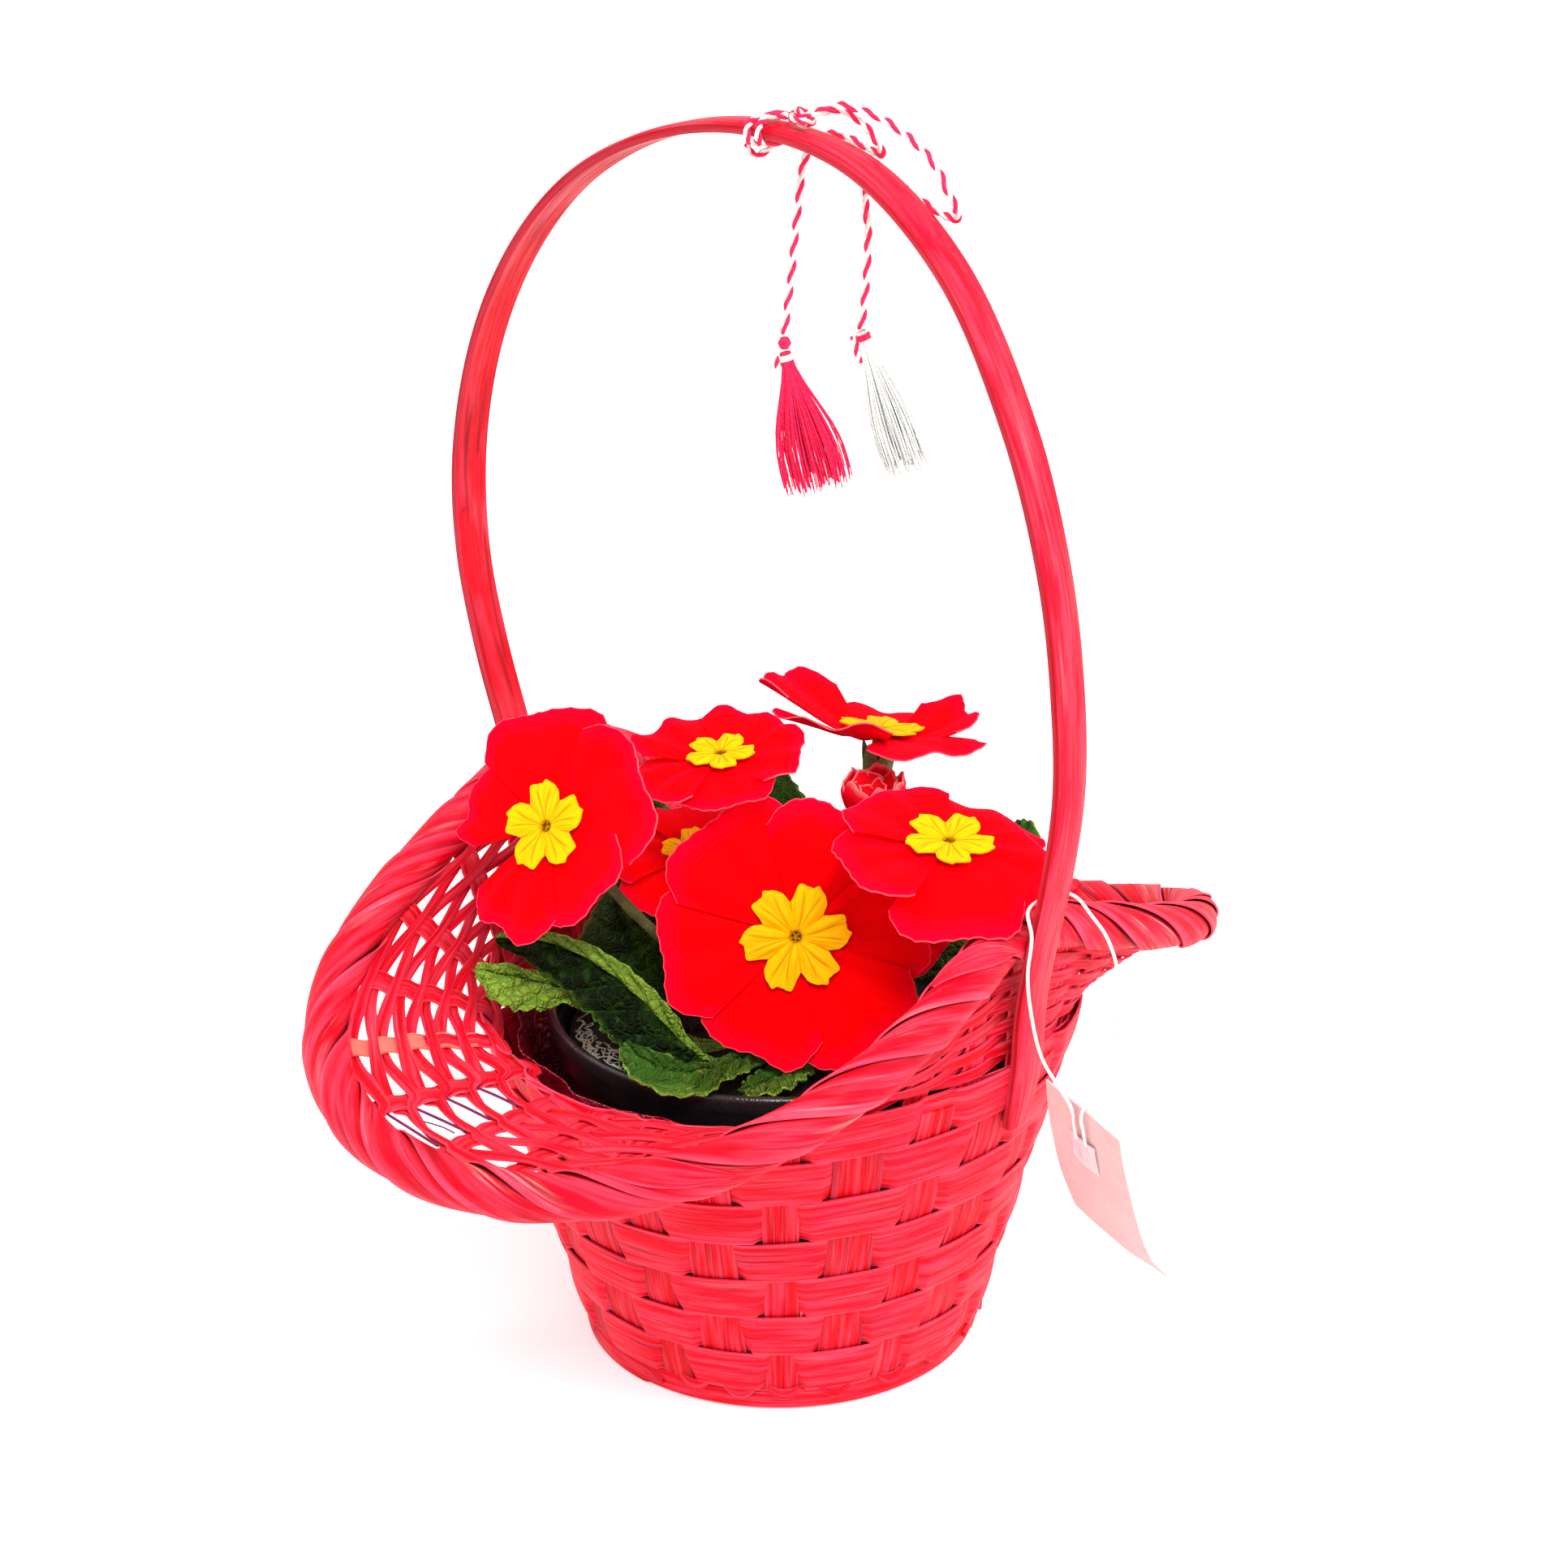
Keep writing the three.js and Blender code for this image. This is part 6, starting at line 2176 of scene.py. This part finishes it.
@dataclass
class Flower:
    """A primrose bloom: notched red lobes round a yellow eye, on a stalk with a toothed cup."""

    name: str
    at: tuple[float, float, float]
    face: tuple[float, float]
    radius: float
    seat: tuple[float, float]
    spin: float = 0.0
    petals: int = 5
    droop: float = 0.0
    bend: Optional[tuple[float, float, float]] = None
    lobes: tuple[tuple[float, float], ...] = ()
    parted: int = -1

    def __post_init__(self) -> None:
        """Works out the flower's own directions."""
        self.out = heading(*self.face)
        side = Vector((0, 0, 1)).cross(self.out).normalized()
        lift = self.out.cross(side).normalized()
        self.right = turn(side, self.out, self.spin)
        self.up = turn(lift, self.out, self.spin)
        self.centre = Vector(self.at)

    def spot(self, radius: float, degrees: float, height: float) -> Vector:
        """A point by its radius, turn and height in the flower's own frame."""
        return swung(self.centre, self.right, self.up, radius, degrees) + self.out * height

    def dish(self, r: float) -> float:
        """Height of the corolla's middle surface above its throat."""
        beyond = max(0.0, r / self.radius - 0.45)
        return 0.1 * r - self.radius * 0.22 * beyond * beyond

    def lobe_end(self, u: float) -> float:
        """The lobe's reach across it: round shoulders either side of a shallow notch."""
        stops = (0.84, 1.0, 0.935, 1.0, 0.82)
        place = (u + 1) * 2
        k = min(3, max(0, math.floor(place)))
        t = place - k
        before = stops[k - 1] if k > 0 else 0.58
        after = stops[k + 2] if k < 3 else 0.56
        a, b = stops[k], stops[k + 1]
        square = (2 * before - 5 * a + 4 * b - after) * t * t
        cube = (3 * a - before - 3 * b + after) * t ** 3
        return 0.5 * (2 * a + (b - before) * t + square + cube)

    def petal(self, number: int) -> Piece:
        """One lobe of the corolla, slanted over its neighbour."""
        stretch, lift = self.lobes[number] if number < len(self.lobes) else (1.0, 0.0)
        middle = number * 360 / self.petals
        half = 180 / self.petals * 1.2
        seed = number * 7 + len(self.name) + self.radius

        def place(x: float, level: float) -> Vector:
            """A point of the lobe: x across it, level out from the throat."""
            u = 2 * x - 1
            crimp = 1 + 0.014 * math.sin(9 * u + seed) + 0.007 * math.sin(31 * u + 2 * seed)
            reach = self.radius * self.lobe_end(u) * stretch * crimp
            r = mix(TUBE_RADIUS + 0.2, reach, level)
            share = r / self.radius
            wave = 1.1 * u * share + 0.55 * share * math.cos(2.4 * math.pi * u + number)
            wave += 0.34 * math.sin(9 * u + seed) * share ** 4 + 0.34 * wobble(2 * u, 2 * level, seed)
            crease = -0.22 * math.exp(-(u / 0.10) ** 2) * ramp(0.25, 0.6, level)
            height = self.dish(r) + wave + crease + lift * max(0.0, share - 0.4) ** 1.3 * 1.9
            before, after = number == self.parted, number == self.parted + 1 and self.parted >= 0
            slim = mix(0.62, 0.55, level) if before and u > 0 or after and u < 0 else 1.0
            point = self.spot(r, middle + u * half * slim, height)
            point.z -= self.droop * share ** 2.2
            return point

        return sheet(f"{self.name}_lobe_{number}", 30, 24, place, tone=self.radius + number)

    def corolla(self, finishes: Finishes) -> None:
        """Makes the red lobes."""
        lobes = [self.petal(number) for number in range(self.petals)]
        whole = soften(thicken(join(f"{self.name}_corolla", lobes), 0.32), 75)
        dress(whole, "petal", (finishes.petal,), f"{self.name}_petals")

    def star(self, finishes: Finishes) -> None:
        """Makes the pleated yellow eye, its raised throat and the tube behind it."""
        reach = self.radius * 0.38
        count = self.petals

        def outline(degrees: float) -> float:
            """The eye's reach, with a blunt point at each lobe."""
            share = saw(degrees * count / 360)
            edge = 1 - 0.36 * ramp(0.36, 1.06, share) - 0.04 * ramp(0.2, 0.0, share)
            tooth = saw(degrees * count * 3 / 360, 0.15)
            return reach * (edge + 0.10 * (tooth ** 2 - 0.4) * ramp(0.95, 0.6, share))

        def place(u: float, v: float) -> Vector:
            """Up out of the throat first, then out over the pleats."""
            degrees = 360 * u
            share = saw(degrees * count / 360)
            if v < 0.30:
                t = v / 0.30
                return self.spot(mix(0.02, 1.35, t ** 0.6), degrees, mix(-1.4, 1.85, t ** 2))
            t = (v - 0.30) / 0.70
            far = outline(degrees)
            radius = mix(1.35, far, t)
            top = self.dish(far) + 0.95 + 1.4 * far / self.radius
            pleat = 0.42 * (abs(share - 0.5) * 2 - 0.5) * math.sin(math.pi * min(1.0, t * 1.15))
            return self.spot(radius, degrees, mix(1.95, top, ramp(0.0, 0.45, t)) - pleat)

        plate = weld(sheet(f"{self.name}_star", 48 * count, 21, place))
        edges = plate.data.attributes["edge"].data
        for index, vertex in enumerate(plate.data.vertices):
            offset = vertex.co / MM - self.centre
            degrees = math.degrees(math.atan2(offset.dot(self.up), offset.dot(self.right)))
            share = saw(degrees * count / 360)
            out = offset.length / reach
            vee = 1 - abs(share - 0.12 - 0.26 * out) / 0.10
            fade = ramp(1.02, 0.7, out) * ramp(0.12, 0.3, out)
            edges[index].value = max(vee, (share - 0.88) / 0.12, 0.0) * fade
        plate = thicken(plate, 0.3, offset=-1.0)
        route = [self.spot(0, 0, mix(-TUBE_LENGTH, 0.6, k / 6)) for k in range(7)]
        parts = [plate, tube(f"{self.name}_tube", route, TUBE_RADIUS, sides=20)]
        route = [self.spot(0, 0, z) for z in (-1.2, 0.2, 0.7, 1.1)]
        parts.append(tube(f"{self.name}_pin", route, lambda t: mix(0.25, 0.62, t), sides=10))
        for k in range(5):
            angle = 72 * k + 30
            route = [self.spot(r, angle + swerve, z) for r, swerve, z in ANTHER]
            parts.append(tube(f"{self.name}_anther_{k}", route, 0.26, sides=6))
        parts = [paint(piece, finishes.eye) for piece in parts]
        whole = soften(join(f"{self.name}_eye_star", parts), 50)
        dress(whole, "eye", (), f"{self.name}_eye")

    def stalk(self, finishes: Finishes) -> None:
        """Makes the stalk, its fine hairs and the ribbed, toothed cup."""
        base, out = crown_seat(*self.seat)
        cup = self.spot(0, 0, -TUBE_LENGTH - 1.5)
        bend = Vector(self.bend) if self.bend else cup - self.out * 12
        line = Line(bezier(base, base + out * 12, bend, cup))

        def thickness(t: float) -> float:
            """The stalk's radius, slightly uneven."""
            return STEM_RADIUS * (1 + 0.05 * math.sin(40 * t))

        stem = paint(tube(f"{self.name}_stalk", line.even(44), thickness, sides=12), finishes.stem)

        def place(u: float, v: float) -> Vector:
            """Round the base of the cup first, then up its ribs to the teeth."""
            degrees = 360 * u
            share = saw(u * 5)
            rib = 0.28 * (1 - share) ** 2
            if v < 0.2:
                return self.spot(mix(0.9, 3.05, ramp(0, 0.2, v)), degrees, mix(-10.1, -8.3, v / 0.2))
            t = (v - 0.2) / 0.8
            top = mix(-1.2, -4.6, share ** 1.2)
            radius = mix(3.05, 3.65, t) + rib + 0.35 * max(0.0, t - 0.8)
            return self.spot(radius, degrees, mix(-8.3, top, t))

        sepals = weld(sheet(f"{self.name}_cup", 60, 16, place, (22, 9)))
        sepals = thicken(paint(sepals, finishes.calyx), 0.4, offset=-1.0)
        dice = random.Random(round(self.radius * 10))
        hairs = []
        for k in range(70):
            t = dice.uniform(0.05, 0.97)
            centre, direction = line.at(t), line.tangent(t)
            side = turn(direction.orthogonal().normalized(), direction, dice.uniform(0, 360))
            root = centre + side * (STEM_RADIUS * 0.95)
            tip = root + side * dice.uniform(0.5, 0.95) + direction * dice.uniform(-0.2, 0.3)

            def hair(u: float, v: float) -> Vector:
                """A thin blade from the root to the tip."""
                return root.lerp(tip, v) + direction * (0.09 * (1 - v) * (u - 0.5))

            hairs.append(sheet(f"hair_{k}", 1, 1, hair))
        down = paint(join(f"{self.name}_down", hairs), finishes.stem)
        whole = soften(join(f"{self.name}_stalk_cup", [stem, sepals, down]), 55)
        dress(whole, "stem", (), f"{self.name}_stem")

    def build(self, finishes: Finishes) -> None:
        """Makes the bloom."""
        self.corolla(finishes)
        self.star(finishes)
        self.stalk(finishes)


@dataclass
class Bud(Flower):
    """The half-open bud: upright lobes rolled round each other.

    Each ring of lobes has its count, how wide and how high it stands, and its turn.
    """

    rings: tuple = ((5, 1.0, 1.0, 0), (4, 0.78, 0.96, 24), (3, 0.5, 0.88, 50))

    def corolla(self, finishes: Finishes) -> None:
        """Makes the bud's outer and inner lobes and its tube."""
        outer = ((1.75, -8.6), (1.75, -1.5), (4.9, 0.4), (6.4, 4.5), (6.9, 8.6))
        line = Line(through([Vector((r, 0, z)) for r, z in outer], 8))
        parts = []
        for ring, (count, scale, top, tilt) in enumerate(self.rings):
            for number in range(count):
                middle = number * 360 / count + tilt
                half = 180 / count * 1.3

                def place(x: float, level: float) -> Vector:
                    """A point of the rolled lobe: x across it, level up it."""
                    u = 2 * x - 1
                    end = (0.93 + 0.07 * math.cos(2.6 * u) - 0.05 * math.exp(-(u / 0.2) ** 2)) * top
                    spot = line.at(mix(0.52 if ring else 0.0, end, level))
                    radius = spot.x * (scale if spot.z > 0 else min(1.0, scale + 0.3))
                    curl = 0.5 * u * level + 0.35 * math.cos(5 * u + number) * level
                    crease = -0.35 * math.exp(-(u / 0.12) ** 2) * level
                    radius += curl + crease - 0.8 * ramp(0.86, 1.0, level) * (1 if ring == 0 else 0.2)
                    height = spot.z + 0.6 * math.sin(7 * u + number) * level ** 3
                    return self.spot(max(0.4, radius), middle + u * half * (0.9 + 0.1 * level), height)

                parts.append(sheet(f"{self.name}_lobe_{ring}_{number}", 16, 18, place, tone=number + ring))
        whole = soften(thicken(join(f"{self.name}_rolled", parts), 0.35), 70)
        dress(whole, "petal", (finishes.young,), f"{self.name}_petals")

    def build(self, finishes: Finishes) -> None:
        """Makes the bud."""
        self.corolla(finishes)
        self.stalk(finishes)


def flowers() -> list[Flower]:
    """The plant's seven blooms and its bud.

    Each has its place, the bearing and elevation that it faces, its radius, and the bearing and
    elevation of its stalk's seat on the crown.
    """
    return [
        Flower("flower_1", (-43.9, 23.7, 123), (-172, 29), 24.5, (174, 42), spin=36, droop=1,
               bend=(-36, 11, 101), lobes=((1.1, 3), (1.1, 0), (0.9, -1), (0.97, 0), (0.88, 2)), parted=2),
        Flower("flower_2", (-17.4, -19.7, 101.9), (-145, 19), 29.5, (236, 58), spin=10, petals=6,
               lobes=((0.93, 0), (0.98, 0), (1.05, 0), (1, 0), (0.93, 0), (1, 0))),
        Flower("flower_3", (-3.8, -47.9, 124.6), (-116, 78), 24, (264, 50), spin=36, droop=7,
               bend=(9, -46, 98), lobes=((1, 2), (1, 7), (1, 6), (1, 0), (0.92, 1))),
        Flower("flower_4", (-13.7, 3.7, 133.6), (-164, 81), 19, (285, 80), spin=15, droop=2,
               bend=(-4, -8, 108), lobes=((0.95, 4), (1, 3), (1.05, 3), (1, 0), (0.92, -1))),
        Flower("flower_5", (33.5, -0.7, 126.1), (7, 79.5), 24.5, (10, 66), spin=12,
               lobes=((1.13, 8), (1.08, 5), (1.05, 1), (0.85, 9), (0.9, 1))),
        Flower("flower_6", (-10.9, 14.3, 108), (-139, 67), 18, (70, 72), spin=20, droop=2),
        Flower("flower_7", (12.5, -19.3, 97.3), (-122, 14), 16.5, (318, 62), spin=30),
        Bud("bud", (17.8, -11.5, 116.5), (-136, 83), 7, (345, 76)),
    ]


# ---------------------------------------------------------------- assembly


def main() -> None:
    """Builds the object, its stage and its lights."""
    logging.basicConfig(level=logging.INFO, format="%(name)s %(message)s")
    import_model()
    studio = Studio()
    studio.camera()
    finishes = Finishes()
    GiftCord(finishes).build()
    Tag(finishes).build()
    Basket(finishes).build()
    PotAndSoil(finishes).build()
    for leaf in leaves():
        leaf.build(finishes)
    for flower in flowers():
        flower.build(finishes)
    studio.light_and_floor()
    deselect()


if __name__ == "__main__":
    main()
